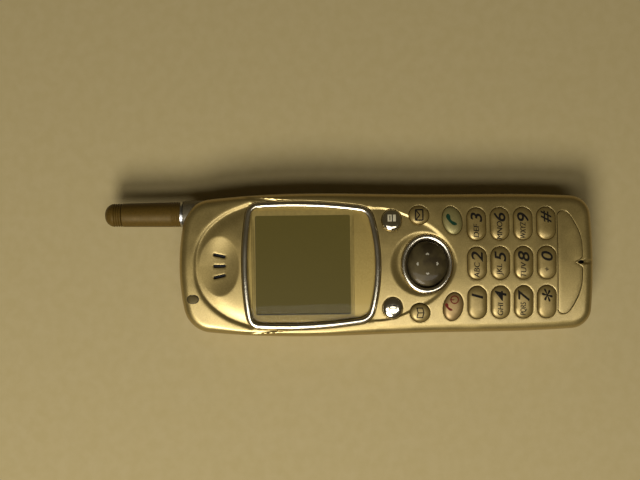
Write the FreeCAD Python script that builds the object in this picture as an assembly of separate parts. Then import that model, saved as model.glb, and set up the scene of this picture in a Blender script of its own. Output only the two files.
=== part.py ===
"""Handheld mobile phone with a stub antenna, as separate pieces in millimetres.

The phone lies on its back on z = 0. +Y is the top end with the antenna, +X is the antenna's side
and +Z is the front face. The origin is on the back, half a millimetre towards the foot from its middle.
"""

import FreeCAD, Part
import os

V = FreeCAD.Vector
os.makedirs("parts", exist_ok=True)

FAR = 100.0  # past the body on every side, for cuts that go right through
OVERCUT = 0.1  # how far a cut runs past the face that it opens
SAME = 1e-6  # two places nearer than this are one place

# Body
BODY_LENGTH = 128.0
BODY_WIDTH = 44.4
BODY_DEPTH = 16.5  # back to the highest point of the crowned front
SIDE_STATIONS = (-1.0, -0.70, -0.16, 0.34, 0.71, 1.0)  # shares of the way to the foot or head end
SIDE_NARROWING = (1.9, 1.0, 0.7, 0.0, 0.7, 2.3)  # how far the side is inside its widest place there
ORIGIN_OFFSET = 0.5  # how far the middle of the length is from the origin, towards the head
HEAD_Y = BODY_LENGTH / 2 + ORIGIN_OFFSET
FOOT_Y = HEAD_Y - BODY_LENGTH
HEAD_BOW = 2.9  # how far the head end bows out past the ends of the sides
FOOT_BOW = 0.9
HEAD_CORNER_R = 9.0
FOOT_CORNER_R = 6.4
PARTING_Z = 9.0
WALL = 1.4
FRONT_EDGE_R = 2.8
BACK_EDGE_R = 3.4
CROSS_CROWN = 1.4  # fall of the front from the middle to 22 mm out
LONG_CROWN = 1.0  # fall of the front 90 mm from its highest line
CROWN_Y = 18.0
CROWN_HALF_WIDTH = 22.0
CROWN_HALF_LENGTH = 90.0
LIP_HEIGHT = 1.0
LIP_THICKNESS = 0.8
LIP_CLEARANCE = 0.1

# Display
TRIM_HEAD_Y = HEAD_Y - 19.5
TRIM_FOOT_Y = TRIM_HEAD_Y - 42.7
TRIM_HALF_HEAD = 19.3
TRIM_HALF_MIDDLE = 19.8
TRIM_HALF_FOOT = 17.7
TRIM_HEAD_BOW = 1.8
TRIM_FOOT_BOW = 2.9
TRIM_HEAD_CORNER_R = 4.2
TRIM_FOOT_CORNER_R = 5.0
TRIM_WIDEST_ABOVE_MIDDLE = 5.0
TRIM_BAND = 1.8
TRIM_PROUD = 0.45
WINDOW_SUNK = 0.25
WINDOW_THICKNESS = 1.0
WINDOW_CLEARANCE = 0.05
LEDGE_THICKNESS = 1.0
LCD_HALF_WIDTH = 15.8
LCD_FOOT_Y = TRIM_FOOT_Y + 8.3
LCD_HEAD_Y = TRIM_HEAD_Y - 3.8
LCD_THICKNESS = 1.4
LCD_CLEARANCE = 0.25

# Circuit board and what stands on it
PCB_Z = 9.4
PCB_THICKNESS = 1.0
PCB_CLEARANCE = 0.5
SHIELD_CAN_THICKNESS = 0.2
DOME_HEIGHT = 0.35
DOME_R = 2.2
NAV_SWITCH_R = 1.4

# Keys
KEY_CLEARANCE = 0.15
KEY_PROUD = 0.9
KEY_EDGE_R = 0.8
KEY_FLANGE = 0.5
KEY_FLANGE_Z = 12.45
KEY_FLANGE_THICKNESS = 1.0
KEY_FLANGE_CLEARANCE = 0.05  # above the flange, where the crowned cover comes down low
MAT_Z = 11.4
MAT_THICKNESS = 1.0
MAT_POST_R = 1.2
DIGIT_WIDTH = 10.0
DIGIT_HEIGHT = 5.7
DIGIT_PITCH_X = 12.05
DIGIT_PITCH_Y = 7.15
DIGIT_TOP_Y = -27.2
DIGIT_ROWS = (("key_1", "key_2", "key_3"), ("key_4", "key_5", "key_6"),
              ("key_7", "key_8", "key_9"), ("key_star", "key_0", "key_hash"))
CALL_X = 13.2
CALL_Y = -19.8
CALL_WIDTH = 8.7
CALL_HEIGHT = 5.9
CALL_TILT = 12.0
SOFT_X = 13.5
SOFT_Y = -1.2
SOFT_WIDTH = 6.6
SOFT_HEIGHT = 6.1
ROUND_X = 15.0
ROUND_Y = -9.6
ROUND_WIDTH = 5.7
ROUND_HEIGHT = 6.1

# Direction key in its dish
NAV_Y = -12.0
NAV_DISH_R = 10.1
NAV_DISH_Y = -10.6
NAV_DISH_DEPTH = 0.9
NAV_RING_HALF_X = 9.2
NAV_RING_HALF_Y = 8.0
NAV_DOME_HALF_X = 6.9
NAV_DOME_HALF_Y = 6.0
NAV_CLEARANCE = 0.4
NAV_DOME_PROUD = 1.3
NAV_RING_PROUD = 0.7
NAV_FLANGE = 1.2
NAV_FLANGE_Z = 13.2
NAV_FLANGE_THICKNESS = 0.5
NAV_FLANGE_ROOM = 0.75
NAV_PLUNGER_R = 0.6
NAV_PLUNGER_GAP = 0.55
NAV_PIVOT_Z = 12.0
NAV_PIN_R = 0.5
NAV_PIN_CLEARANCE = 0.05
NAV_CARRIER_HALF_X = 4.4
NAV_CARRIER_HALF_Y = 4.0
NAV_CARRIER_BAND = 1.0
NAV_CARRIER_HALF_THICKNESS = 0.75
NAV_BLOCK_HALF_X = 1.6
NAV_BLOCK_HALF_Y = 2.2
NAV_POST_GAP = 0.6
NAV_POST_WIDTH = 1.0

# Recessed panel that runs from the display round the direction key
PANEL_STEP = 0.35
PANEL_POINTS = ((17.5, 4.0), (16.3, -3.0), (15.0, -6.4), (13.0, -11.7), (10.8, -15.0), (7.7, -18.0),
                (4.6, -20.0), (0.0, -21.4))

# Earpiece, microphone, indicator and foot panel
EAR_Y = HEAD_Y - 12.6
EAR_HALF_X = 9.2
EAR_HALF_Y = 6.15
EAR_DEPTH = 0.9
EAR_SLOT_LENGTH = 3.8
EAR_SLOT_WIDTH = 1.2
EAR_SLOT_PITCH = 3.2
EAR_SLOT_TILT = 13.0
SPEAKER_R = 6.0
SPEAKER_THICKNESS = 2.2
GASKET_THICKNESS = 0.4
MIC_SLOT_WIDTH = 1.5
MIC_SLOT_START_Y = FOOT_Y + 5.7
MIC_Y = FOOT_Y + 5.3
MIC_R = 3.0
MIC_THICKNESS = 1.7
MIC_BOOT_WALL = 0.6
INDICATOR_X = -10.1
INDICATOR_Y = HEAD_Y - 4.35
INDICATOR_LENGTH = 3.5
INDICATOR_WIDTH = 2.5
INDICATOR_CLEARANCE = 0.05
FOOT_PANEL_Y = FOOT_Y + 11.3
FOOT_PANEL_HALF_WIDTH = 15.8
FOOT_PANEL_DROP = 7.45
FOOT_PANEL_THICKNESS = 0.6
FOOT_PANEL_CLEARANCE = 0.1

# Antenna
ANTENNA_X = BODY_WIDTH / 2 - 6.0
ANTENNA_Z = 9.6
STUB_FOOT_Y = HEAD_Y - 0.3
STUB_HEAD_Y = STUB_FOOT_Y + 18.5
ANTENNA_TIP_Y = STUB_HEAD_Y + 5.3
STUB_FOOT_R = 3.9
STUB_HEAD_R = 3.65
KNOB_R = 3.6
KNOB_TIP_R = 3.0
KNOB_GROOVES = 3
KNOB_GROOVE_PITCH = 1.1
KNOB_GROOVE_DEPTH = 0.25
BUSHING_R = 3.1
BUSHING_FOOT_Y = HEAD_Y - 9.5
BUSHING_FLANGE_R = 4.0
BUSHING_FLANGE_THICKNESS = 0.6
BOSS_R = 4.3
BOSS_FOOT_Y = BUSHING_FOOT_Y - 2.0
BOSS_GAP = 0.2  # between the boss end and the bushing's flange
WHIP_R = 0.6
WHIP_CLEARANCE = 0.06
WHIP_STOP_R = 1.1
WHIP_STOP_LENGTH = 4.0
WHIP_TRAVEL = 44.0
TUBE_R = 1.6
TUBE_BORE_R = 1.25
TUBE_FOOT_WALL = 0.8

# Battery pack and its catch
BATTERY_HEAD_Y = 12.0
BATTERY_DEPTH = 6.4
BATTERY_CLEARANCE = 0.2
TRAY_THICKNESS = 1.2
CELL_HALF_WIDTH = 14.7
CELL_DEPTH = 4.0
CELL_FOOT_MARGIN = 4.5
CELL_HEAD_MARGIN = 4.0
CASE_FLOOR = 1.2
CELL_CLEARANCE = 0.3
LID_THICKNESS = 1.0
LID_OVERLAP = 0.8
RAIL_X = BODY_WIDTH / 2 - 5.2
RAIL_WEB = 1.0
RAIL_HOOK = 1.0
RAIL_HOOK_THICKNESS = 1.0
RAIL_DROP = 2.4
RAIL_FOOT_Y = FOOT_Y + 8.5
RAIL_CLEARANCE = 0.25
TONGUE_HALF_WIDTH = 4.0
TONGUE_LENGTH = 3.6
TONGUE_Z = 1.7
TONGUE_THICKNESS = 1.2
TOOTH_HALF_WIDTH = 1.4
TOOTH_LENGTH = 1.4
CATCH_HALF_WIDTH = 6.0
CATCH_LENGTH = 8.0
CATCH_GAP = 2.2  # between the tooth and the push button
CATCH_TOP_Z = 4.6
CATCH_ARM_THICKNESS = 1.0
CATCH_CLEARANCE = 0.25
CATCH_SPRING_R = 2.0
CATCH_SPRING_WIRE_R = 0.25
CATCH_SPRING_TURNS = 4
CONTACT_COUNT = 4
CONTACT_PITCH = 4.2
CONTACT_WIDTH = 1.6
CONTACT_LENGTH = 5.0
PAD_THICKNESS = 0.3

# Screws
SCREW_R = 0.95
SCREW_HEAD_R = 1.75
SCREW_HEAD_THICKNESS = 0.9
SCREW_LENGTH = 4.8
SCREW_HEAD_Z = 6.7
SCREW_BOSS_R = 2.6
SCREW_POST_R = 1.9
SCREW_CLEARANCE = 0.15
FOOT_SCREWS = ((-13.5, FOOT_Y + 6.5), (13.5, FOOT_Y + 6.5))
HEAD_SCREWS = ((-14.6, HEAD_Y - 10.9), (8.6, HEAD_Y - 6.5))
PLUG_THICKNESS = 1.8
PLUG_CLEARANCE = 0.05

# Other electronics
RINGER_R = 6.5
RINGER_THICKNESS = 4.0
RINGER_X = -8.0
RINGER_Y = 45.0
MOTOR_R = 2.2
MOTOR_LENGTH = 10.0
MOTOR_X = -14.5
MOTOR_Y = 31.0
MOTOR_Z = 5.2
SHAFT_R = 0.4
SHAFT_CLEARANCE = 0.05
WEIGHT_R = 2.6
WEIGHT_LENGTH = 3.0
COIN_R = 3.4
COIN_THICKNESS = 2.1
COIN_X = -7.0
COIN_Y = 20.0
SIM_HALF_WIDTH = 13.0
SIM_FOOT_Y = -50.0
SIM_HEAD_Y = -33.0
SIM_CLEARANCE = 0.3
SIM_RIM = 1.5
RF_SHIELD_X = 4.0
RF_SHIELD_HEAD_Y = 46.0
RF_SHIELD_DEPTH = 2.2
LOGIC_SHIELD = (-14.0, 12.0, -30.0, -8.0)  # its two sides, foot and head
LOGIC_SHIELD_DEPTH = 1.3
CONNECTOR_HALF_WIDTH = 8.0
CONNECTOR_Z = 8.1
CONNECTOR_THICKNESS = 2.8
CONNECTOR_LENGTH = 5.5
CONNECTOR_CLEARANCE = 0.15
CONNECTOR_WALL = 0.5

# Small clearances, gaps and edges
TONGUE_CLEARANCE = 0.25
CONTACT_CLEARANCE = 0.2
TUBE_CLEARANCE = 0.1
TRIM_LEDGE = 0.2
EAR_PAD_RIM = 0.6
GASKET_CLEARANCE = 0.1
GASKET_BAND = 1.2
NAV_PAD_RIM = 0.8
NAV_RING_ROUND = 0.6
NAV_DOME_ROUND = 1.2
NAV_PIN_ROOT = 0.4
NAV_POST_HALF = 1.2
NAV_POST_RIM = 0.35
NAV_PLATE_THICKNESS = 0.3
MIC_SLOT_REACH = 4.0
MIC_HEADROOM = 0.9
MIC_BOOT_FLOOR = 0.4
MIC_BOOT_RIM = 0.7
RAIL_HEAD_CLEARANCE = 0.5
LIP_DROP = 1.0
WINDOW_GAP = 0.2
PCB_TUBE_CLEARANCE = 1.0
PCB_BOSS_CLEARANCE = 1.6
PCB_CONNECTOR_CLEARANCE = 0.2
PCB_POST_CLEARANCE = 0.4
POST_GAP = 0.2
TUBE_FOOT_CLEARANCE = 1.5
WHIP_STOP_CLEARANCE = 1.0
WHIP_ROOT = 3.0
MAT_POST_CLEARANCE = 0.05
KNOB_CLEARANCE = 0.05
KNOB_GROOVE_START = 0.7
KNOB_GROOVE_HALF = 0.2
TONGUE_ROOT = 0.5
FORK_CLEARANCE = 0.3
LID_CLEARANCE = 0.05
PAD_RIM = 0.4
CELL_ROUND = 1.0
CONTACT_FOOT = 1.0
CONTACT_BEND = 1.5
CONTACT_SHEET = 0.3
TOOTH_RISE = 0.2
RIDGE_MARGIN = 1.5
RIDGE_PITCH = 2.0
RIDGE_HALF = 0.3
RIDGE_DEPTH = 0.3
CATCH_LIP = 0.35
CATCH_LIP_GAP = 0.2
CATCH_LIP_TOP = 1.0
CATCH_SPRING_GAP = 0.05
DRIVE_REACH = 1.1
DRIVE_HALF = 0.2
DRIVE_DEPTH = 0.45
SCREW_TIP_CLEARANCE = 0.2
PLUG_SUNK = 0.15
CONNECTOR_SUNK = 0.3
CONNECTOR_BACK = 1.2
CONNECTOR_BACK_GAP = 0.2
TONGUE_SIDE = 1.6
TONGUE_SUNK = 0.8
TONGUE_FACE = 1.1
MOTOR_BRACKET_GRIP = 0.2
WEIGHT_GAP = 0.6
WEIGHT_STEP = 0.9
SHAFT_ROOT = 2.5
RINGER_CLEARANCE = 0.1
RINGER_HOLE_R = 1.0
RINGER_HOLE_DEPTH = 0.8
INDICATOR_FOOT = 2.0
INDICATOR_SEAT = 0.6
BACKLIGHT_CLEARANCE = 0.2
RF_SHIELD_GAP = 1.5
RF_SHIELD_FOOT = 4.0
SIM_FLOOR_GAP = 0.15
SIM_ROOF = 0.3


def save(name, shape):
    """Write one piece to its own file."""
    shape.exportStep("parts/" + name + ".step")


def box(x0, x1, y0, y1, z0, z1):
    return Part.makeBox(x1 - x0, y1 - y0, z1 - z0, V(x0, y0, z0))


def rod(radius, start, end):
    """A round bar between two points."""
    line = end - start
    return Part.makeCylinder(radius, line.Length, start, line)


def pin(radius, x, y, z0, z1):
    return rod(radius, V(x, y, z0), V(x, y, z1))


def along_antenna(radius, y0, y1):
    return rod(radius, V(ANTENNA_X, y0, ANTENNA_Z), V(ANTENNA_X, y1, ANTENNA_Z))


def slab(wire, z0, z1):
    """Fill a flat wire at z = 0 and raise it from z0 to z1."""
    base = Part.Face(wire)
    base.translate(V(0, 0, z0))
    return base.extrude(V(0, 0, z1 - z0))


def upright_edges(solid):
    """The edges of a straight-sided solid that run along Z."""
    found = []
    for edge in solid.Edges:
        ends = [v.Point for v in edge.Vertexes]
        if len(ends) == 2 and abs(ends[0].x - ends[1].x) < SAME and abs(ends[0].y - ends[1].y) < SAME:
            found.append(edge)
    return found


def rounded(edges, head_r, foot_r):
    """A closed wire of four edges in the plane z = 0, its corners rounded at the head and the foot."""
    block = Part.Face(Part.Wire(edges)).extrude(V(0, 0, 1))
    middle = block.CenterOfMass.y
    corners = upright_edges(block)
    head = [e for e in corners if e.Vertexes[0].Point.y > middle]
    foot = [e for e in corners if e.Vertexes[0].Point.y < middle]
    block = block.makeFillet(head_r, head).makeFillet(foot_r, foot)
    floor = [f for f in block.Faces if abs(f.CenterOfMass.z) < SAME][0]
    return floor.OuterWire


def arc(a, b, c):
    return Part.Arc(V(*a, 0), V(*b, 0), V(*c, 0)).toShape()


def body_outline(inset=0.0):
    """The body seen from the front, set in all round: bowed ends, and sides that narrow at the foot."""
    head_y = HEAD_Y - inset
    foot_y = FOOT_Y + inset
    right = [V(BODY_WIDTH / 2 - narrowing - inset, station * (head_y if station > 0 else -foot_y), 0)
             for station, narrowing in zip(SIDE_STATIONS, SIDE_NARROWING)]
    right[0].y += FOOT_BOW
    right[-1].y -= HEAD_BOW
    left = [V(-p.x, p.y, 0) for p in right]
    sides = []
    for points in (right, left):
        curve = Part.BSplineCurve()
        curve.interpolate(points)
        sides.append(curve.toShape())
    foot = Part.Arc(left[0], V(0, foot_y, 0), right[0]).toShape()
    head = Part.Arc(right[-1], V(0, head_y, 0), left[-1]).toShape()
    return rounded([foot, sides[0], head, sides[1]], HEAD_CORNER_R - inset, FOOT_CORNER_R - inset)


def trim_outline(inset=0.0):
    """The edge of the display trim, set in all round: wider at the head than at the foot."""
    top = TRIM_HEAD_Y - inset
    bottom = TRIM_FOOT_Y + inset
    head_y = top - TRIM_HEAD_BOW
    foot_y = bottom + TRIM_FOOT_BOW
    middle_y = (top + bottom) / 2 + TRIM_WIDEST_ABOVE_MIDDLE
    foot_x = TRIM_HALF_FOOT - inset
    middle_x = TRIM_HALF_MIDDLE - inset
    head_x = TRIM_HALF_HEAD - inset
    edges = [arc((-foot_x, foot_y), (0, bottom), (foot_x, foot_y)),
             arc((foot_x, foot_y), (middle_x, middle_y), (head_x, head_y)),
             arc((head_x, head_y), (0, top), (-head_x, head_y)),
             arc((-head_x, head_y), (-middle_x, middle_y), (-foot_x, foot_y))]
    return rounded(edges, TRIM_HEAD_CORNER_R - inset, TRIM_FOOT_CORNER_R - inset)


def front_z(x, y):
    """Height of the crowned front face."""
    across = CROSS_CROWN * (x / CROWN_HALF_WIDTH) ** 2
    along = LONG_CROWN * ((y - CROWN_Y) / CROWN_HALF_LENGTH) ** 2
    return BODY_DEPTH - across - along


def under_front(drop):
    """Everything below the crowned front face lowered by drop, over an area larger than the body."""
    reach_x = 0.65 * BODY_WIDTH
    reach_y = 0.6 * BODY_LENGTH
    xs = (-reach_x, 0.0, reach_x)
    across = (-CROSS_CROWN * (reach_x / CROWN_HALF_WIDTH) ** 2,
              CROSS_CROWN * (reach_x / CROWN_HALF_WIDTH) ** 2)
    ordinates_x = (across[0], across[1], across[0])
    ys = (-reach_y, 0.0, reach_y)
    fall = [-LONG_CROWN * ((y - CROWN_Y) / CROWN_HALF_LENGTH) ** 2 for y in (ys[0], ys[2])]
    slope = 2 * LONG_CROWN * (CROWN_Y - ys[0]) / CROWN_HALF_LENGTH ** 2
    ordinates_y = (fall[0], fall[0] + slope * reach_y, fall[1])
    surface = Part.BezierSurface()
    surface.increase(2, 2)
    for i, x in enumerate(xs):
        for j, y in enumerate(ys):
            z = BODY_DEPTH - drop + ordinates_x[i] + ordinates_y[j]
            surface.setPole(i + 1, j + 1, V(x, y, z))
    return surface.toShape().extrude(V(0, 0, -3 * BODY_DEPTH))


def layer(wire, top_drop, bottom_drop):
    """A plate inside the wire that follows the front face, between two depths below it."""
    block = slab(wire, PARTING_Z, BODY_DEPTH + 5)
    plate = block.common(under_front(top_drop))
    return plate.cut(under_front(bottom_drop))


def ellipse(half_x, half_y, x, y, tilt=0.0):
    """A closed ellipse in the plane z = 0, turned by tilt degrees."""
    major, minor, turn = (half_x, half_y, 0.0) if half_x >= half_y else (half_y, half_x, 90.0)
    edge = Part.Ellipse(V(0, 0, 0), major, minor).toShape()
    edge.rotate(V(0, 0, 0), V(0, 0, 1), turn + tilt)
    edge.translate(V(x, y, 0))
    return Part.Wire([edge])


def stadium(width, height, x, y, tilt=0.0):
    """A closed slot shape, width along X and height along Y before it is turned by tilt degrees."""
    r = min(width, height) / 2
    run = (max(width, height)) / 2 - r
    edges = [Part.LineSegment(V(-run, -r, 0), V(run, -r, 0)).toShape(),
             Part.Arc(V(run, -r, 0), V(run + r, 0, 0), V(run, r, 0)).toShape(),
             Part.LineSegment(V(run, r, 0), V(-run, r, 0)).toShape(),
             Part.Arc(V(-run, r, 0), V(-run - r, 0, 0), V(-run, -r, 0)).toShape()]
    wire = Part.Wire(edges)
    wire.rotate(V(0, 0, 0), V(0, 0, 1), tilt if width >= height else 90 + tilt)
    wire.translate(V(x, y, 0))
    return wire


def rectangle(x0, x1, y0, y1, grow=0.0):
    """A closed rectangle in the plane z = 0, grown on every side."""
    x0, x1, y0, y1 = x0 - grow, x1 + grow, y0 - grow, y1 + grow
    return Part.makePolygon([V(x0, y0, 0), V(x1, y0, 0), V(x1, y1, 0), V(x0, y1, 0), V(x0, y0, 0)])


def panel_outline():
    """The edge of the recessed panel, pointed towards the keypad."""
    right = [V(x, y, 0) for x, y in PANEL_POINTS]
    left = [V(-p.x, p.y, 0) for p in reversed(right[:-1])]
    curve = Part.BSplineCurve()
    curve.interpolate(right + left)
    closing = Part.LineSegment(left[-1], right[0]).toShape()
    return Part.Wire([curve.toShape(), closing])


def foot_panel_outline(grow=0.0):
    """A flat D with its straight side towards the keys, grown on every side."""
    x = FOOT_PANEL_HALF_WIDTH + grow
    y = FOOT_PANEL_Y + grow
    curve = Part.BSplineCurve()
    low = FOOT_PANEL_Y - FOOT_PANEL_DROP - grow
    curve.interpolate([V(-x, y, 0), V(-0.86 * x, low + 2.9, 0), V(-0.45 * x, low + 0.35, 0), V(0, low, 0),
                       V(0.45 * x, low + 0.35, 0), V(0.86 * x, low + 2.9, 0), V(x, y, 0)])
    return Part.Wire([Part.LineSegment(V(x, y, 0), V(-x, y, 0)).toShape(), curve.toShape()])


class Key:
    """A key's place and outline."""

    def __init__(self, shape, width, height, x, y, tilt=0.0):
        self.shape = shape
        self.width = width
        self.height = height
        self.x = x
        self.y = y
        self.tilt = tilt

    def wire(self, grow=0.0):
        width = self.width + 2 * grow
        height = self.height + 2 * grow
        if self.shape == "stadium":
            return stadium(width, height, self.x, self.y, self.tilt)
        return ellipse(width / 2, height / 2, self.x, self.y, self.tilt)


def all_keys():
    """Every key by name."""
    made = {}
    for row, names in enumerate(DIGIT_ROWS):
        for column, name in enumerate(names):
            x = (column - 1) * DIGIT_PITCH_X
            y = DIGIT_TOP_Y - row * DIGIT_PITCH_Y
            made[name] = Key("stadium", DIGIT_WIDTH, DIGIT_HEIGHT, x, y)
    for side, call, soft, small in ((1, "call_key", "soft_key_right", "mail_key"),
                                    (-1, "end_key", "soft_key_left", "book_key")):
        made[call] = Key("ellipse", CALL_WIDTH, CALL_HEIGHT, side * CALL_X, CALL_Y, side * CALL_TILT)
        made[soft] = Key("ellipse", SOFT_WIDTH, SOFT_HEIGHT, side * SOFT_X, SOFT_Y)
        made[small] = Key("ellipse", ROUND_WIDTH, ROUND_HEIGHT, side * ROUND_X, ROUND_Y)
    return made


def key_cap(key):
    """A key: a cap with a rounded top edge, standing on a flange that the cover keeps in."""
    top = front_z(key.x, key.y) + KEY_PROUD
    cap = slab(key.wire(), KEY_FLANGE_Z, top)
    rim = [e for e in cap.Edges if abs(e.BoundBox.ZMin - top) < SAME]
    cap = cap.makeFillet(KEY_EDGE_R, rim)
    flange = slab(key.wire(KEY_FLANGE), KEY_FLANGE_Z, KEY_FLANGE_Z + KEY_FLANGE_THICKNESS)
    flange = flange.common(under_front(WALL + KEY_FLANGE_CLEARANCE))
    return cap.fuse(flange).removeSplitter()


outline = body_outline()
inner_outline = body_outline(WALL)
keys = all_keys()
lip_inset = WALL + LIP_CLEARANCE
tray_z = BATTERY_DEPTH + BATTERY_CLEARANCE
tray_top = tray_z + TRAY_THICKNESS
pcb_top = PCB_Z + PCB_THICKNESS
screws = FOOT_SCREWS + HEAD_SCREWS


def lcd_rect(grow=0.0):
    """The outline of the display panel."""
    return rectangle(-LCD_HALF_WIDTH, LCD_HALF_WIDTH, LCD_FOOT_Y, LCD_HEAD_Y, grow)


def window_drop():
    """How far the underside of the window's ledge is below the front face."""
    return WINDOW_SUNK + WINDOW_THICKNESS + LEDGE_THICKNESS


def screw_posts(height):
    """Posts of the front cover that the screws bite into, up to the height given."""
    return [pin(SCREW_POST_R, x, y, PARTING_Z + POST_GAP, height) for x, y in screws]


def solid_front():
    """The front half of the body before it is hollowed."""
    block = slab(outline, PARTING_Z, BODY_DEPTH + 5).common(under_front(0))
    rim = [e for e in block.Edges if e.BoundBox.ZMin > PARTING_Z + 1]
    return block.makeFillet(FRONT_EDGE_R, rim)


def antenna_boss():
    """The short collar that the antenna stands on, at the corner of the head end."""
    return along_antenna(BOSS_R, BOSS_FOOT_Y, STUB_FOOT_Y - BUSHING_FLANGE_THICKNESS - BOSS_GAP)


def antenna_bore():
    return along_antenna(BUSHING_R, BUSHING_FOOT_Y - 10, STUB_FOOT_Y + 5)


def connector_cut():
    """The opening in the foot end for the connector."""
    gap = CONNECTOR_CLEARANCE
    return box(-CONNECTOR_HALF_WIDTH - gap, CONNECTOR_HALF_WIDTH + gap, FOOT_Y - 2, FOOT_Y + CONNECTOR_LENGTH,
               CONNECTOR_Z - gap, CONNECTOR_Z + CONNECTOR_THICKNESS + gap)


def front_cover():
    """The front half of the casing."""
    outer = solid_front()
    hollow = slab(inner_outline, PARTING_Z - 1, BODY_DEPTH + 5).common(under_front(WALL))
    cover = outer.cut(hollow)
    ledge = layer(trim_outline(-TRIM_LEDGE), 0, window_drop()).common(slab(inner_outline, 0, FAR))
    ear_pad = slab(ellipse(EAR_HALF_X + EAR_PAD_RIM, EAR_HALF_Y + EAR_PAD_RIM, 0, EAR_Y),
                   pcb_top + SPEAKER_THICKNESS + GASKET_THICKNESS + GASKET_CLEARANCE, BODY_DEPTH)
    ear_pad = ear_pad.common(under_front(WALL / 2))
    nav_pad = slab(ellipse(NAV_DISH_R + NAV_PAD_RIM, NAV_DISH_R + NAV_PAD_RIM, 0, NAV_DISH_Y), nav_ring_z(),
                   BODY_DEPTH)
    nav_pad = nav_pad.common(under_front(WALL / 2))
    upper = box(-FAR, FAR, -FAR, FAR, PARTING_Z, FAR)
    boss = antenna_boss().common(upper)
    posts = [p.common(under_front(WALL / 2)) for p in screw_posts(BODY_DEPTH)]
    cover = cover.fuse([ledge, ear_pad, nav_pad, boss] + posts)
    cuts = [slab(trim_outline(-WINDOW_CLEARANCE), 0, FAR).cut(under_front(WINDOW_SUNK + WINDOW_THICKNESS)),
            slab(lcd_rect(LCD_CLEARANCE), 0, FAR),
            antenna_bore(), connector_cut()]
    cuts.append(layer(panel_outline(), -5, PANEL_STEP))
    dish_top = front_z(0, NAV_DISH_Y) - PANEL_STEP + OVERCUT
    cuts.append(Part.makeCone(NAV_DISH_R - NAV_DISH_DEPTH, NAV_DISH_R + OVERCUT, NAV_DISH_DEPTH + OVERCUT,
                              V(0, NAV_DISH_Y, dish_top - NAV_DISH_DEPTH - OVERCUT)))
    cuts.append(slab(ellipse(NAV_RING_HALF_X + WINDOW_CLEARANCE, NAV_RING_HALF_Y + WINDOW_CLEARANCE, 0,
                             NAV_Y), 0, FAR))
    cuts.append(ear_dish())
    for side in (-1, 0, 1):
        slot = stadium(EAR_SLOT_WIDTH, EAR_SLOT_LENGTH, side * EAR_SLOT_PITCH, EAR_Y, -side * EAR_SLOT_TILT)
        cuts.append(slab(slot, 0, FAR))
    cuts += [slab(key.wire(KEY_CLEARANCE), 0, FAR) for key in keys.values()]
    cuts.append(layer(foot_panel_outline(FOOT_PANEL_CLEARANCE), -5, FOOT_PANEL_THICKNESS))
    cuts.append(box(-MIC_SLOT_WIDTH / 2, MIC_SLOT_WIDTH / 2, -FAR, MIC_SLOT_START_Y,
                    BODY_DEPTH - MIC_SLOT_REACH, FAR))
    cuts.append(slab(stadium(INDICATOR_WIDTH, INDICATOR_LENGTH, INDICATOR_X, INDICATOR_Y),
                     PARTING_Z + INDICATOR_FOOT, FAR))
    cuts += [pin(SCREW_R, x, y, 0, SCREW_HEAD_Z + SCREW_HEAD_THICKNESS + SCREW_LENGTH) for x, y in screws]
    return cover.cut(cuts)


def ear_dish():
    """The shallow oval hollow round the earpiece slots: a ball stretched into an oval lens."""
    ball_r = (EAR_HALF_Y ** 2 + EAR_DEPTH ** 2) / (2 * EAR_DEPTH)
    ball = Part.makeSphere(ball_r)
    stretch = FreeCAD.Matrix()
    stretch.A11 = EAR_HALF_X / EAR_HALF_Y
    dish = ball.transformGeometry(stretch)
    dish.translate(V(0, EAR_Y, front_z(0, EAR_Y) - EAR_DEPTH + ball_r))
    return dish


def solid_back():
    """The back half of the body before it is divided and hollowed."""
    block = slab(outline, 0, PARTING_Z)
    rim = [e for e in block.Edges if e.BoundBox.ZMax < SAME]
    return block.makeFillet(BACK_EDGE_R, rim)


def rail(side, gap):
    """One hooked rail under the tray, grown by gap on every side."""
    x0 = RAIL_X - gap
    web = box(x0, RAIL_X + RAIL_WEB + gap, RAIL_FOOT_Y - gap, BATTERY_HEAD_Y + RAIL_HEAD_CLEARANCE,
              tray_z - RAIL_DROP - gap, tray_z + OVERCUT)
    hook = box(x0, RAIL_X + RAIL_WEB + RAIL_HOOK + gap, RAIL_FOOT_Y - gap,
               BATTERY_HEAD_Y + RAIL_HEAD_CLEARANCE,
               tray_z - RAIL_DROP - gap, tray_z - RAIL_DROP + RAIL_HOOK_THICKNESS + gap)
    both = web.fuse(hook)
    if side > 0:
        return both
    return both.mirror(V(0, 0, 0), V(1, 0, 0))


def catch_rect(gap):
    """The outline of the battery catch's push button, grown by gap."""
    y0 = BATTERY_HEAD_Y + WALL + CATCH_CLEARANCE + TOOTH_LENGTH + CATCH_GAP
    return rectangle(-CATCH_HALF_WIDTH, CATCH_HALF_WIDTH, y0, y0 + CATCH_LENGTH, gap)


def contact_xs():
    return [(i - (CONTACT_COUNT - 1) / 2) * CONTACT_PITCH for i in range(CONTACT_COUNT)]


def contact_y():
    """The middle of the battery's contacts, a little below the head end of the pack."""
    return BATTERY_HEAD_Y - 10.0


def sim_box(gap, z0, z1):
    return box(-SIM_HALF_WIDTH - gap, SIM_HALF_WIDTH + gap, SIM_FOOT_Y - gap, SIM_HEAD_Y + gap, z0, z1)


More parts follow.
